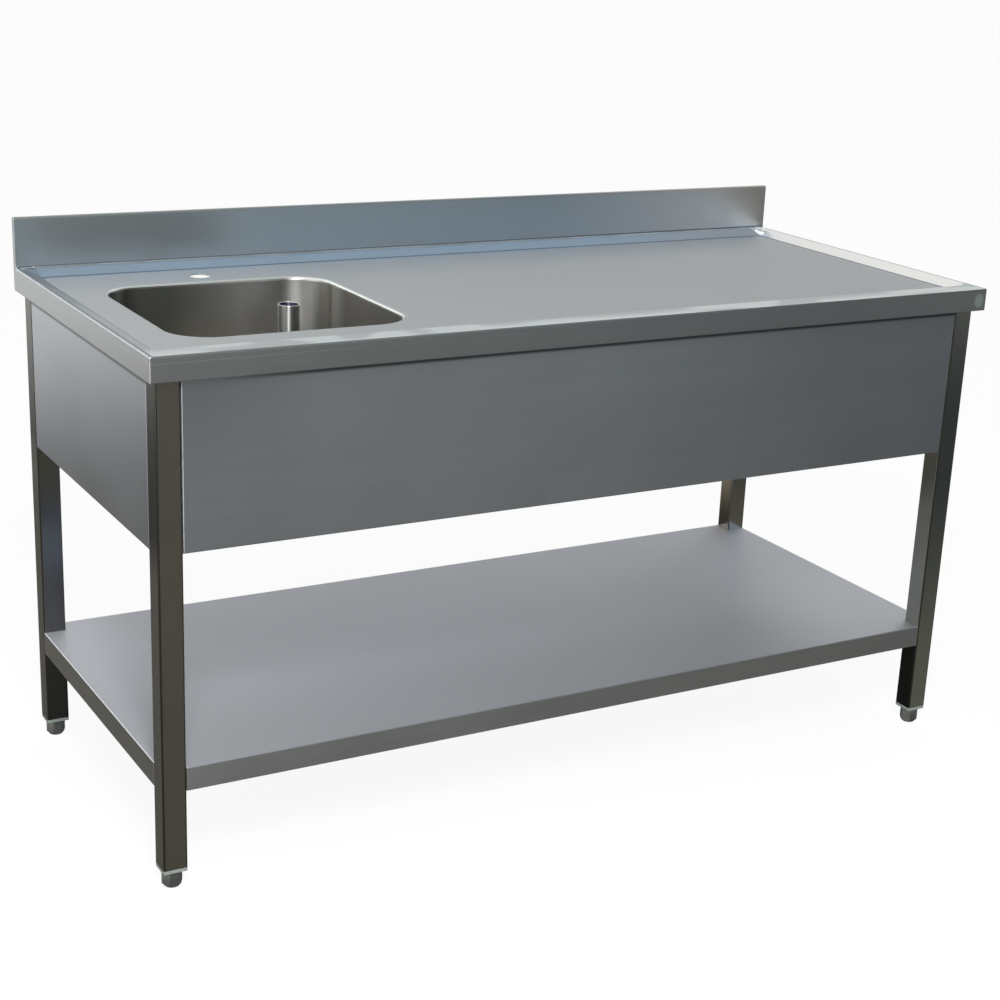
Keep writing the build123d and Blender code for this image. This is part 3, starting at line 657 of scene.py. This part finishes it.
APRON_TONES = ("#C9CDD3", "#C6CBD1")
SIDE_APRON_TONES = ("#B8BBBF", "#B5B9BD")
SKIRT_SHADOW_TONE = "#686C70"
APRON_CORNER_SHADE_TONE = "#B4B8BE"
SKIRT_SHADOW_FADE = 4 * MM
FRONT_SKIRT_SHADOW = 8 * MM
SIDE_SKIRT_SHADOW = 13 * MM
# Where the painted shade on the front apron's top left corner starts and where it is full
APRON_LEFT = (apron_low[0] + 220 * MM, apron_low[0] + 40 * MM)
APRON_TOP = (apron_low[2] + 60 * MM, apron_high[2] - 60 * MM)


def painted_skirt_shadow(shader, shadow_depth):
    """Darken the top of an apron with a painted shadow under the skirt."""
    tree = shader.id_data
    level = object_axes(tree)[1]["Z"]
    # painted shadow under the skirt along the apron's top
    shadow_bottom = SKIRT_BOTTOM - shadow_depth
    gap = add(
        tree,
        "ShaderNodeMapRange",
        {"Value": level, "From Min": shadow_bottom - SKIRT_SHADOW_FADE, "From Max": shadow_bottom},
    )
    finish_where(shader, [gap], SKIRT_SHADOW_TONE)


def front_apron_finish():
    """Brushed front apron, with a painted shadow under the skirt and painted shade on its top left corner."""
    material, shader = brushed_steel(
        "brushed stainless apron", APRON_TONES, ALONG_X, roughness=0.32, anisotropy=0.9
    )
    painted_skirt_shadow(shader, FRONT_SKIRT_SHADOW)
    tree = shader.id_data
    axes = object_axes(tree)[1]
    # painted shade on the apron's top left corner
    left = add(
        tree,
        "ShaderNodeMapRange",
        {"Value": axes["X"], "From Min": APRON_LEFT[0], "From Max": APRON_LEFT[1]},
    )
    top = add(
        tree,
        "ShaderNodeMapRange",
        {"Value": axes["Z"], "From Min": APRON_TOP[0], "From Max": APRON_TOP[1]},
    )
    finish_where(shader, [left, top], APRON_CORNER_SHADE_TONE)
    return material


def side_apron_finish():
    """Side apron, brushed from front to back, with a painted shadow under the skirt."""
    material, shader = brushed_steel(
        "brushed stainless side apron", SIDE_APRON_TONES, ALONG_Y, roughness=0.30, anisotropy=0.3
    )
    painted_skirt_shadow(shader, SIDE_SKIRT_SHADOW)
    return material


# Other metals, rubber and plastics

SPECK_RANGE = (0.3, 0.7)
METAL_GLOSS_SPREAD = 0.03
MOULD_GLOSS_SPREAD = 0.08
MOULD_BUMP = 0.2
MOULD_DEPTH = 0.1 * MM
MOULD_GRAIN = 1 * MM
RUBBER_IOR = 1.52
POLYAMIDE_IOR = 1.53
PIPE_TONE = "#929290"
PIPE_BORE_SHADE_TONE = "#4C4C62"
PIPE_LIP_HIGHLIGHT_TONE = "#EDEDED"
PIPE_WALL = 1.3 * MM
PIPE_LIP = 0.8 * MM


def plain_metal(name, tone, roughness, grain, anisotropy=0.0):
    """Metal with an even skin, such as mill-rolled, turned or polished steel: a soft grain of one size."""
    material, tree, output = new_material(name)
    place = object_axes(tree)[0]
    speck = add(tree, "ShaderNodeTexNoise", {"Vector": place, "Scale": 1 / grain, "Detail": 1.0})
    gloss = add(
        tree,
        "ShaderNodeMapRange",
        {
            "Value": speck.outputs["Fac"],
            "From Min": SPECK_RANGE[0],
            "From Max": SPECK_RANGE[1],
            "To Min": roughness - METAL_GLOSS_SPREAD,
            "To Max": roughness + METAL_GLOSS_SPREAD,
        },
    )
    # lines round an upright piece stretch its reflections up and down
    upright = add(tree, "ShaderNodeCombineXYZ", {"X": 0.02, "Y": 0.01, "Z": 1.0})
    metal = add(
        tree,
        "ShaderNodeBsdfPrincipled",
        {
            "Base Color": linear(tone),
            "Metallic": 1.0,
            "Roughness": gloss.outputs[0],
            "Anisotropic": anisotropy,
            "Tangent": upright.outputs[0],
        },
    )
    tree.links.new(metal.outputs[0], output.inputs["Surface"])
    return material, metal


def moulded(name, tone, roughness, ior):
    """Moulded rubber or plastic: a fine even texture from the mould."""
    material, tree, output = new_material(name)
    place = object_axes(tree)[0]
    speck = add(tree, "ShaderNodeTexNoise", {"Vector": place, "Scale": 1 / MOULD_GRAIN, "Detail": 2.0})
    gloss = add(
        tree,
        "ShaderNodeMapRange",
        {
            "Value": speck.outputs["Fac"],
            "From Min": SPECK_RANGE[0],
            "From Max": SPECK_RANGE[1],
            "To Min": roughness - MOULD_GLOSS_SPREAD,
            "To Max": roughness + MOULD_GLOSS_SPREAD,
        },
    )
    bump = add(
        tree,
        "ShaderNodeBump",
        {"Height": speck.outputs["Fac"], "Strength": MOULD_BUMP, "Distance": MOULD_DEPTH},
    )
    skin = add(
        tree,
        "ShaderNodeBsdfPrincipled",
        {"Base Color": linear(tone), "Roughness": gloss.outputs[0], "IOR": ior, "Normal": bump.outputs[0]},
    )
    tree.links.new(skin.outputs[0], output.inputs["Surface"])
    return material


def standpipe_finish():
    """Tube polished on a lathe: a narrow bright line down it, a painted highlight on its lip and painted
    shade in its bore.
    """
    material, shader = plain_metal(
        "polished stainless tube", PIPE_TONE, roughness=0.42, grain=30 * MM, anisotropy=0.9
    )
    tree = material.node_tree
    low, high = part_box("standpipe_tube")
    centre = [(a + b) / 2 for a, b in zip(low, high)]
    bore_radius = (high[0] - low[0]) / 2 - PIPE_WALL
    place, axes = object_axes(tree)
    from_centre = add(tree, "ShaderNodeVectorMath", {0: place, 1: centre}, operation="SUBTRACT")
    across = add(
        tree, "ShaderNodeVectorMath", {0: from_centre.outputs[0], 1: (1.0, 1.0, 0.0)}, operation="MULTIPLY"
    )
    radius = add(tree, "ShaderNodeVectorMath", {0: across.outputs[0]}, operation="LENGTH").outputs["Value"]
    # painted shade in the bore
    bore = add(tree, "ShaderNodeMath", {0: radius, 1: bore_radius}, operation="LESS_THAN")
    finish_where(shader, [bore], PIPE_BORE_SHADE_TONE)
    # painted highlight on the lip
    lip = add(tree, "ShaderNodeMath", {0: axes["Z"], 1: high[2] - PIPE_LIP}, operation="GREATER_THAN")
    finish_where(shader, [lip], PIPE_LIP_HIGHLIGHT_TONE)
    return material


finishes = {
    "worktop_sheet": worktop_finish(),
    "bowl_sheet": bowl_finish(),
    # a clear mirror round the drain's flange
    "drain_steel": plain_metal("polished stainless drain", "#C0C0C0", roughness=0.18, grain=20 * MM)[0],
    "standpipe_steel": standpipe_finish(),
    # dull and near black
    "rubber": moulded("moulded black rubber", "#2A2A2A", roughness=0.6, ior=RUBBER_IOR),
    # grey, with blurred reflections
    "rail_steel": plain_metal("mill-rolled stainless", "#A8A9AA", roughness=0.42, grain=8 * MM)[0],
    "apron_sheet": front_apron_finish(),
    "leg_tube": leg_finish(),
    "shelf_sheet": shelf_finish(),
    # pale, with a fine turned grain
    "foot_steel": plain_metal("turned stainless foot", "#D4D8D2", roughness=0.38, grain=4 * MM)[0],
    # an even satin sheen from the mould
    "insert_polyamide": moulded("moulded grey polyamide", "#7A827D", roughness=0.45, ior=POLYAMIDE_IOR),
    "glide_polyamide": moulded("moulded dark polyamide", "#4A4D4A", roughness=0.5, ior=POLYAMIDE_IOR),
    # small bright highlights
    "fastener_steel": plain_metal("passivated stainless bolts", "#B0B0AE", roughness=0.28, grain=2 * MM)[0],
}
side_apron_steel = side_apron_finish()
for part in frame["record"]["subparts"]:
    finish = finishes[part["material_slot"]]
    if part["node"] in SIDE_APRONS:
        finish = side_apron_steel
    mesh = nodes[part["node"]].data
    mesh.materials.clear()
    mesh.materials.append(finish)


# New pieces

SAME_POINT = 1e-6
ON_PLANE = 1e-7
SHARP_ANGLE = 30
DOME_SHARP_ANGLE = 40
UP = Vector((0, 0, 1))
DOWN = Vector((0, 0, -1))


def finish_piece(name, shape, body, slot, sharp_angle):
    """Turn a bmesh into a piece that rides on a body and takes a slot's finish."""
    mesh = bpy.data.meshes.new(name)
    shape.to_mesh(mesh)
    shape.free()
    piece = bpy.data.objects.new(name, mesh)
    bpy.context.scene.collection.objects.link(piece)
    mesh.materials.append(finishes[slot])
    mesh.shade_smooth()
    mesh.set_sharp_from_angle(angle=math.radians(sharp_angle))
    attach(piece, body)
    return piece


def polyline(shape, points):
    """A row of vertices joined by edges, which a spin then turns."""
    vertices = [shape.verts.new(point) for point in points]
    edges = [shape.edges.new(pair) for pair in zip(vertices, vertices[1:])]
    return vertices + edges


def cut_flat(shape, point, outward):
    """Cut away what lies beyond a plane and close the cut."""
    bmesh.ops.bisect_plane(
        shape,
        geom=shape.verts[:] + shape.edges[:] + shape.faces[:],
        plane_co=point,
        plane_no=outward,
        dist=ON_PLANE,
        clear_outer=True,
    )
    bmesh.ops.holes_fill(shape, edges=[edge for edge in shape.edges if edge.is_boundary], sides=0)


# Screw feet

FOOT_ACROSS_FLATS = 30 * MM
FOOT_CORNER_RADIUS = FOOT_ACROSS_FLATS / math.sqrt(3)
FOOT_TIP_RADIUS = 15.2 * MM
FOOT_CONE_STEEPNESS = 1.2
FOOT_CHAMFER_WIDTH = 1.7 * MM
FOOT_CHAMFER_HEIGHT = 1 * MM
FOOT_INSERT_GAP = 0.2 * MM
FOOT_BODY_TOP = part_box("front_left_foot_insert")[0][2] - FOOT_INSERT_GAP
FOOT_FLATS = 6
FIRST_FLAT = 30
STUD_BORE = 4.05 * MM
STUD_BORE_DEPTH = 8 * MM
TURN_STEPS = 72
THREAD_PITCH = 1.75 * MM
THREAD_CREST = 5.95 * MM
THREAD_ROOT = 5.0 * MM
THREAD_STEPS = 24
THREAD_SPARE_TURNS = 3
THREAD_SINK = 0.5 * MM
# Radius of the thread's tooth, with the share of a pitch at which it is reached
THREAD_TOOTH = (
    (THREAD_ROOT, 0.0),
    (THREAD_CREST, 0.42),
    (THREAD_CREST, 0.54),
    (THREAD_ROOT, 0.96),
    (THREAD_ROOT, 1.0),
)


def foot_hexagon(axis, bottom):
    """Hexagon turned to a cone below and chamfered above, with a bore for the glide's stud."""
    cone_height = (FOOT_CORNER_RADIUS - FOOT_TIP_RADIUS) * FOOT_CONE_STEEPNESS
    outline = (
        (0, bottom + STUD_BORE_DEPTH),
        (STUD_BORE, bottom + STUD_BORE_DEPTH),
        (STUD_BORE, bottom),
        (FOOT_TIP_RADIUS, bottom),
        (FOOT_CORNER_RADIUS, bottom + cone_height),
        (FOOT_CORNER_RADIUS, FOOT_BODY_TOP - FOOT_CHAMFER_HEIGHT),
        (FOOT_CORNER_RADIUS - FOOT_CHAMFER_WIDTH, FOOT_BODY_TOP),
        (0, FOOT_BODY_TOP),
    )
    shape = bmesh.new()
    profile = polyline(shape, [(axis.x + radius, axis.y, z) for radius, z in outline])
    bmesh.ops.spin(
        shape,
        geom=profile,
        cent=axis,
        axis=UP,
        angle=2 * math.pi,
        steps=TURN_STEPS,
        use_merge=True,
    )
    bmesh.ops.remove_doubles(shape, verts=shape.verts[:], dist=SAME_POINT)
    for flat in range(FOOT_FLATS):
        angle = math.radians(360 / FOOT_FLATS * flat + FIRST_FLAT)
        outward = Vector((math.cos(angle), math.sin(angle), 0))
        cut_flat(shape, axis + outward * FOOT_ACROSS_FLATS / 2, outward)
    bmesh.ops.recalc_face_normals(shape, faces=shape.faces[:])
    return shape


def foot_thread(axis, top):
    """Threaded spindle, spun longer than it is and cut flat in the hexagon and at its top."""
    first_turn = FOOT_BODY_TOP - THREAD_SPARE_TURNS * THREAD_PITCH
    turns = math.ceil((top - FOOT_BODY_TOP) / THREAD_PITCH) + 2 * THREAD_SPARE_TURNS
    tooth = [(axis.x + radius, axis.y, first_turn + share * THREAD_PITCH) for radius, share in THREAD_TOOTH]
    shape = bmesh.new()
    bmesh.ops.spin(
        shape,
        geom=polyline(shape, tooth),
        cent=axis,
        axis=UP,
        dvec=(0, 0, THREAD_PITCH / THREAD_STEPS),
        angle=2 * math.pi * turns,
        steps=THREAD_STEPS * turns,
    )
    bmesh.ops.remove_doubles(shape, verts=shape.verts[:], dist=SAME_POINT)
    cut_flat(shape, Vector((axis.x, axis.y, FOOT_BODY_TOP - THREAD_SINK)), DOWN)
    cut_flat(shape, Vector((axis.x, axis.y, top)), UP)
    bmesh.ops.recalc_face_normals(shape, faces=shape.faces[:])
    return shape


def screw_foot(name):
    """Hexagon foot with its threaded spindle, in place of the plain one."""
    low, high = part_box(f"{name}_foot")
    axis = Vector(((low[0] + high[0]) / 2, (low[1] + high[1]) / 2, 0))
    shape = foot_hexagon(axis, low[2])
    thread = foot_thread(axis, high[2])
    thread_mesh = bpy.data.meshes.new("thread")
    thread.to_mesh(thread_mesh)
    thread.free()
    shape.from_mesh(thread_mesh)
    bpy.data.meshes.remove(thread_mesh)
    piece = finish_piece(
        f"{name}_hexagon_screw_foot", shape, f"{name}_screw_foot", "foot_steel", SHARP_ANGLE
    )
    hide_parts(f"{name}_foot")


for leg_name in LEG_NAMES:
    screw_foot(leg_name)


# Welds

WELD_RADIUS = 5 * MM
WELD_STEPS = 8
WELD_FROM_END = 3 * MM
WELD_TO_END = 30 * MM
WELD_SINK = 0.3 * MM
CORNER_WELD_PLACE = Vector((worktop_high[0] - 18 * MM, SPLASH_FACE - 18 * MM, RIM_LEVEL - 5.8 * MM))
CORNER_WELD_SIZE = (14 * MM, 17 * MM, 5.8 * MM)
CORNER_WELD_SINK = 3 * MM


def splash_end_weld(name, end):
    """Hollow weld where the splashback meets the end of the rim: -1 is the left end and 1 the right end."""
    outer = end * (worktop_high[0] - WELD_FROM_END)
    inner = end * (worktop_high[0] - WELD_TO_END)
    root_y = SPLASH_FACE + WELD_SINK
    root_z = RIM_LEVEL - WELD_SINK
    section = [(outer, root_y, root_z)]
    for step in range(WELD_STEPS + 1):
        angle = math.pi / 2 * step / WELD_STEPS
        y = root_y - WELD_RADIUS * (1 - math.sin(angle))
        z = root_z + WELD_RADIUS * (1 - math.cos(angle))
        section.append((outer, y, z))
    shape = bmesh.new()
    face = shape.faces.new([shape.verts.new(point) for point in section])
    grown = bmesh.ops.extrude_face_region(shape, geom=[face])
    moved = [item for item in grown["geom"] if isinstance(item, bmesh.types.BMVert)]
    bmesh.ops.translate(shape, verts=moved, vec=(inner - outer, 0, 0))
    bmesh.ops.recalc_face_normals(shape, faces=shape.faces[:])
    finish_piece(name, shape, "table", "worktop_sheet", SHARP_ANGLE)


def corner_weld(name):
    """Low polished dome of weld that fills the dish's back right corner."""
    shape = bmesh.new()
    bmesh.ops.create_uvsphere(shape, u_segments=32, v_segments=16, radius=1.0)
    bmesh.ops.scale(shape, vec=CORNER_WELD_SIZE, verts=shape.verts[:])
    bmesh.ops.translate(shape, vec=CORNER_WELD_PLACE, verts=shape.verts[:])
    cut_flat(shape, CORNER_WELD_PLACE + DOWN * CORNER_WELD_SINK, DOWN)
    bmesh.ops.recalc_face_normals(shape, faces=shape.faces[:])
    finish_piece(name, shape, "table", "worktop_sheet", DOME_SHARP_ANGLE)


splash_end_weld("left_splash_weld", -1)
splash_end_weld("right_splash_weld", 1)
corner_weld("back_right_corner_weld")


# Studio

FLOOR_REACH = (-30.0, 30.0)
FLOOR_WHITE_SHARE = 0.92
SKY_LIGHT = 0.7


def sheet_on_stage(name, corners, material):
    """A flat four-cornered card or floor, which belongs to the studio and not to the table."""
    shape = bmesh.new()
    shape.faces.new([shape.verts.new(corner) for corner in corners])
    mesh = bpy.data.meshes.new(name)
    shape.to_mesh(mesh)
    shape.free()
    card = bpy.data.objects.new(name, mesh)
    bpy.context.scene.collection.objects.link(card)
    mesh.materials.append(material)
    return card


def flat_card(x, y, z):
    """Corners of a level card, from its reach in X and in Y and its height."""
    return [(x[0], y[0], z), (x[1], y[0], z), (x[1], y[1], z), (x[0], y[1], z)]


def wall_card(x, y, z):
    """Corners of a card that stands across the view, from its reach in X, its depth and its reach in Z."""
    return [(x[0], y, z[0]), (x[1], y, z[0]), (x[1], y, z[1]), (x[0], y, z[1])]


def side_card(x, y, z):
    """Corners of a card that stands at the table's side, from its place in X and its reach in Y and in Z."""
    return [(x, y[0], z[0]), (x, y[1], z[0]), (x, y[1], z[1]), (x, y[0], z[1])]


def shown_to_eye_and_mirror(tree):
    """1 where the camera, a reflection or a see-through surface looks, and 0 where light is gathered."""
    path = add(tree, "ShaderNodeLightPath")
    seen = add(
        tree,
        "ShaderNodeMath",
        {0: path.outputs["Is Camera Ray"], 1: path.outputs["Is Glossy Ray"]},
        operation="MAXIMUM",
    )
    return add(
        tree,
        "ShaderNodeMath",
        {0: seen.outputs[0], 1: path.outputs["Is Transmission Ray"]},
        operation="MAXIMUM",
    ).outputs[0]


def paper_floor():
    """White studio paper: white to the camera and in reflections, with the table's soft shadow on it."""
    material, tree, output = new_material("white studio paper")
    share = add(
        tree, "ShaderNodeMath", {0: shown_to_eye_and_mirror(tree), 1: FLOOR_WHITE_SHARE}, operation="MULTIPLY"
    )
    paper = add(tree, "ShaderNodeBsdfDiffuse", {"Color": linear("#F6F6F6")})
    white = add(tree, "ShaderNodeEmission", {"Color": linear("#FFFFFF"), "Strength": 1.0})
    mixed = add(tree, "ShaderNodeMixShader", {0: share.outputs[0], 1: paper.outputs[0], 2: white.outputs[0]})
    tree.links.new(mixed.outputs[0], output.inputs["Surface"])
    return material


def reflection_card(name, corners, tones, axis="X", reach=(0.0, 1.0), strength=1.0, least_bounces=1):
    """A card that only reflections show, shaded from its first tone to its last along one axis.

    With least_bounces of 2, only a reflection within a reflection shows it.
    """
    material, tree, output = new_material(name)
    share = add(
        tree,
        "ShaderNodeMapRange",
        {"Value": object_axes(tree)[1][axis], "From Min": reach[0], "From Max": reach[1]},
        interpolation_type="SMOOTHSTEP",
    )
    shade = add(
        tree,
        "ShaderNodeMix",
        {"Factor": share.outputs[0], "A": linear(tones[0]), "B": linear(tones[1])},
        data_type="RGBA",
    )
    light = add(tree, "ShaderNodeEmission", {"Color": shade.outputs["Result"], "Strength": strength})
    bounces = add(tree, "ShaderNodeLightPath").outputs["Ray Depth"]
    shown = add(tree, "ShaderNodeMath", {0: bounces, 1: least_bounces - 0.5}, operation="GREATER_THAN")
    clear = add(tree, "ShaderNodeBsdfTransparent")
    mixed = add(tree, "ShaderNodeMixShader", {0: shown.outputs[0], 1: clear.outputs[0], 2: light.outputs[0]})
    tree.links.new(mixed.outputs[0], output.inputs["Surface"])
    card = sheet_on_stage(name, corners, material)
    card.visible_camera = False
    card.visible_diffuse = False
    card.visible_transmission = False
    card.visible_volume_scatter = False
    card.visible_shadow = False


sheet_on_stage("floor", flat_card(FLOOR_REACH, FLOOR_REACH, 0.0), paper_floor())

# Cards on the floor and round the table give the steel its darks, its blue slope and its bright left edge
CARD_LEVEL = 0.003
OVER_CARD_LEVEL = 0.006
TABLE_FRONT = -0.37
TABLE_END = 0.80
BEHIND_TABLE = 1.6
FAR_FRONT = -9
reflection_card(
    "card_in_front",
    flat_card((-6, 9), (FAR_FRONT, TABLE_FRONT), CARD_LEVEL),
    ("#66655C", "#C4C4C0"),
    reach=(3.8, 4.9),
)
reflection_card(
    "card_at_right_front",
    flat_card((TABLE_END, 3.6), (FAR_FRONT, TABLE_FRONT), OVER_CARD_LEVEL),
    ("#66655C", "#454B4E"),
    reach=(0.8, 2.2),
)
reflection_card(
    "card_on_left",
    flat_card((-5, -TABLE_END), (TABLE_FRONT, 8), CARD_LEVEL),
    ("#6A6967", "#FFFFFF"),
    axis="Y",
    reach=(1.6, 4.6),
)
reflection_card(
    "card_on_right",
    flat_card((TABLE_END, 9), (TABLE_FRONT, BEHIND_TABLE), CARD_LEVEL),
    ("#6E6D63", "#6E6D63"),
)
reflection_card(
    "card_under",
    flat_card((-TABLE_END, TABLE_END), (TABLE_FRONT, BEHIND_TABLE), CARD_LEVEL),
    ("#303030", "#A89E90"),
    axis="Y",
    reach=(0.98, 1.15),
)
reflection_card("card_behind", wall_card((-3, 10), 5, (0, 3.4)), ("#BCBFC1", "#BCBFC1"))
reflection_card("card_before", wall_card((-3, 14), -7, (0, 9)), ("#B4BABF", "#4E5256"), reach=(3.6, 7.2))
reflection_card(
    "blue_card",
    wall_card((0, 6.2), -4, (4.0, 6.9)),
    ("#BEDCFF", "#C2DCFC"),
    reach=(2.0, 5.5),
    strength=5.9,
    least_bounces=2,
)
reflection_card("card_above", flat_card((-6, 8), (-4, 2), 6.0), ("#B0B0AE", "#B0B0AE"))
reflection_card(
    "high_white_card",
    wall_card((-2.0, -1.0), 2.8, (1.35, 2.3)),
    ("#A0A0A0", "#FFFFFF"),
    axis="Z",
    reach=(1.5, 1.9),
    strength=3.6,
)
reflection_card(
    "low_white_card", wall_card((-2.7, -1.55), 2.79, (0.75, 1.3)), ("#FFFFFF", "#FFFFFF"), strength=4.0
)
reflection_card(
    "side_card",
    side_card(-3.0, (-2.2, 0.35), (0.12, 3.4)),
    ("#747474", "#FFFFFF"),
    axis="Z",
    reach=(0.2, 0.8),
    strength=3.2,
)


def soft_box(name, place, target, width, height, power):
    """A rectangular lamp with a large soft face."""
    lamp = bpy.data.lights.new(name, "AREA")
    lamp.shape = "RECTANGLE"
    lamp.size = width
    lamp.size_y = height
    lamp.energy = power
    holder = bpy.data.objects.new(name, lamp)
    bpy.context.scene.collection.objects.link(holder)
    holder.location = place
    holder.rotation_euler = (Vector(target) - Vector(place)).to_track_quat("-Z", "Y").to_euler()


SOFT_BOX_PLACE = (-1.45, -2.55, 2.7)
SOFT_BOX_TARGET = (-0.4, 0.1, 0.8)
soft_box("front_soft_box", SOFT_BOX_PLACE, SOFT_BOX_TARGET, width=0.9, height=1.0, power=130.0)

world = bpy.data.worlds.new("studio")
bpy.context.scene.world = world
world.use_nodes = True
sky_tree = world.node_tree
sky_tree.nodes.clear()
sky_strength = add(
    sky_tree,
    "ShaderNodeMapRange",
    {"Value": shown_to_eye_and_mirror(sky_tree), "To Min": SKY_LIGHT, "To Max": 1.0},
)
sky = add(
    sky_tree, "ShaderNodeBackground", {"Color": linear("#FFFFFF"), "Strength": sky_strength.outputs[0]}
)
add(sky_tree, "ShaderNodeOutputWorld", {"Surface": sky.outputs[0]})

# Camera at the photograph's place, with its turn in degrees
CAMERA_PLACE = (-1.6603, -2.8679, 1.5164)
CAMERA_TURN = (71.48, -2.48, -29.79)
CAMERA_LENS = 67.55
CAMERA_SHIFT = (-0.0219, 0.0274)
camera_data = bpy.data.cameras.new("camera")
camera = bpy.data.objects.new("camera", camera_data)
bpy.context.scene.collection.objects.link(camera)
bpy.context.scene.camera = camera
camera.location = CAMERA_PLACE
camera.rotation_euler = [math.radians(angle) for angle in CAMERA_TURN]
camera_data.lens = CAMERA_LENS
camera_data.shift_x, camera_data.shift_y = CAMERA_SHIFT

bpy.context.scene.view_settings.view_transform = "Standard"
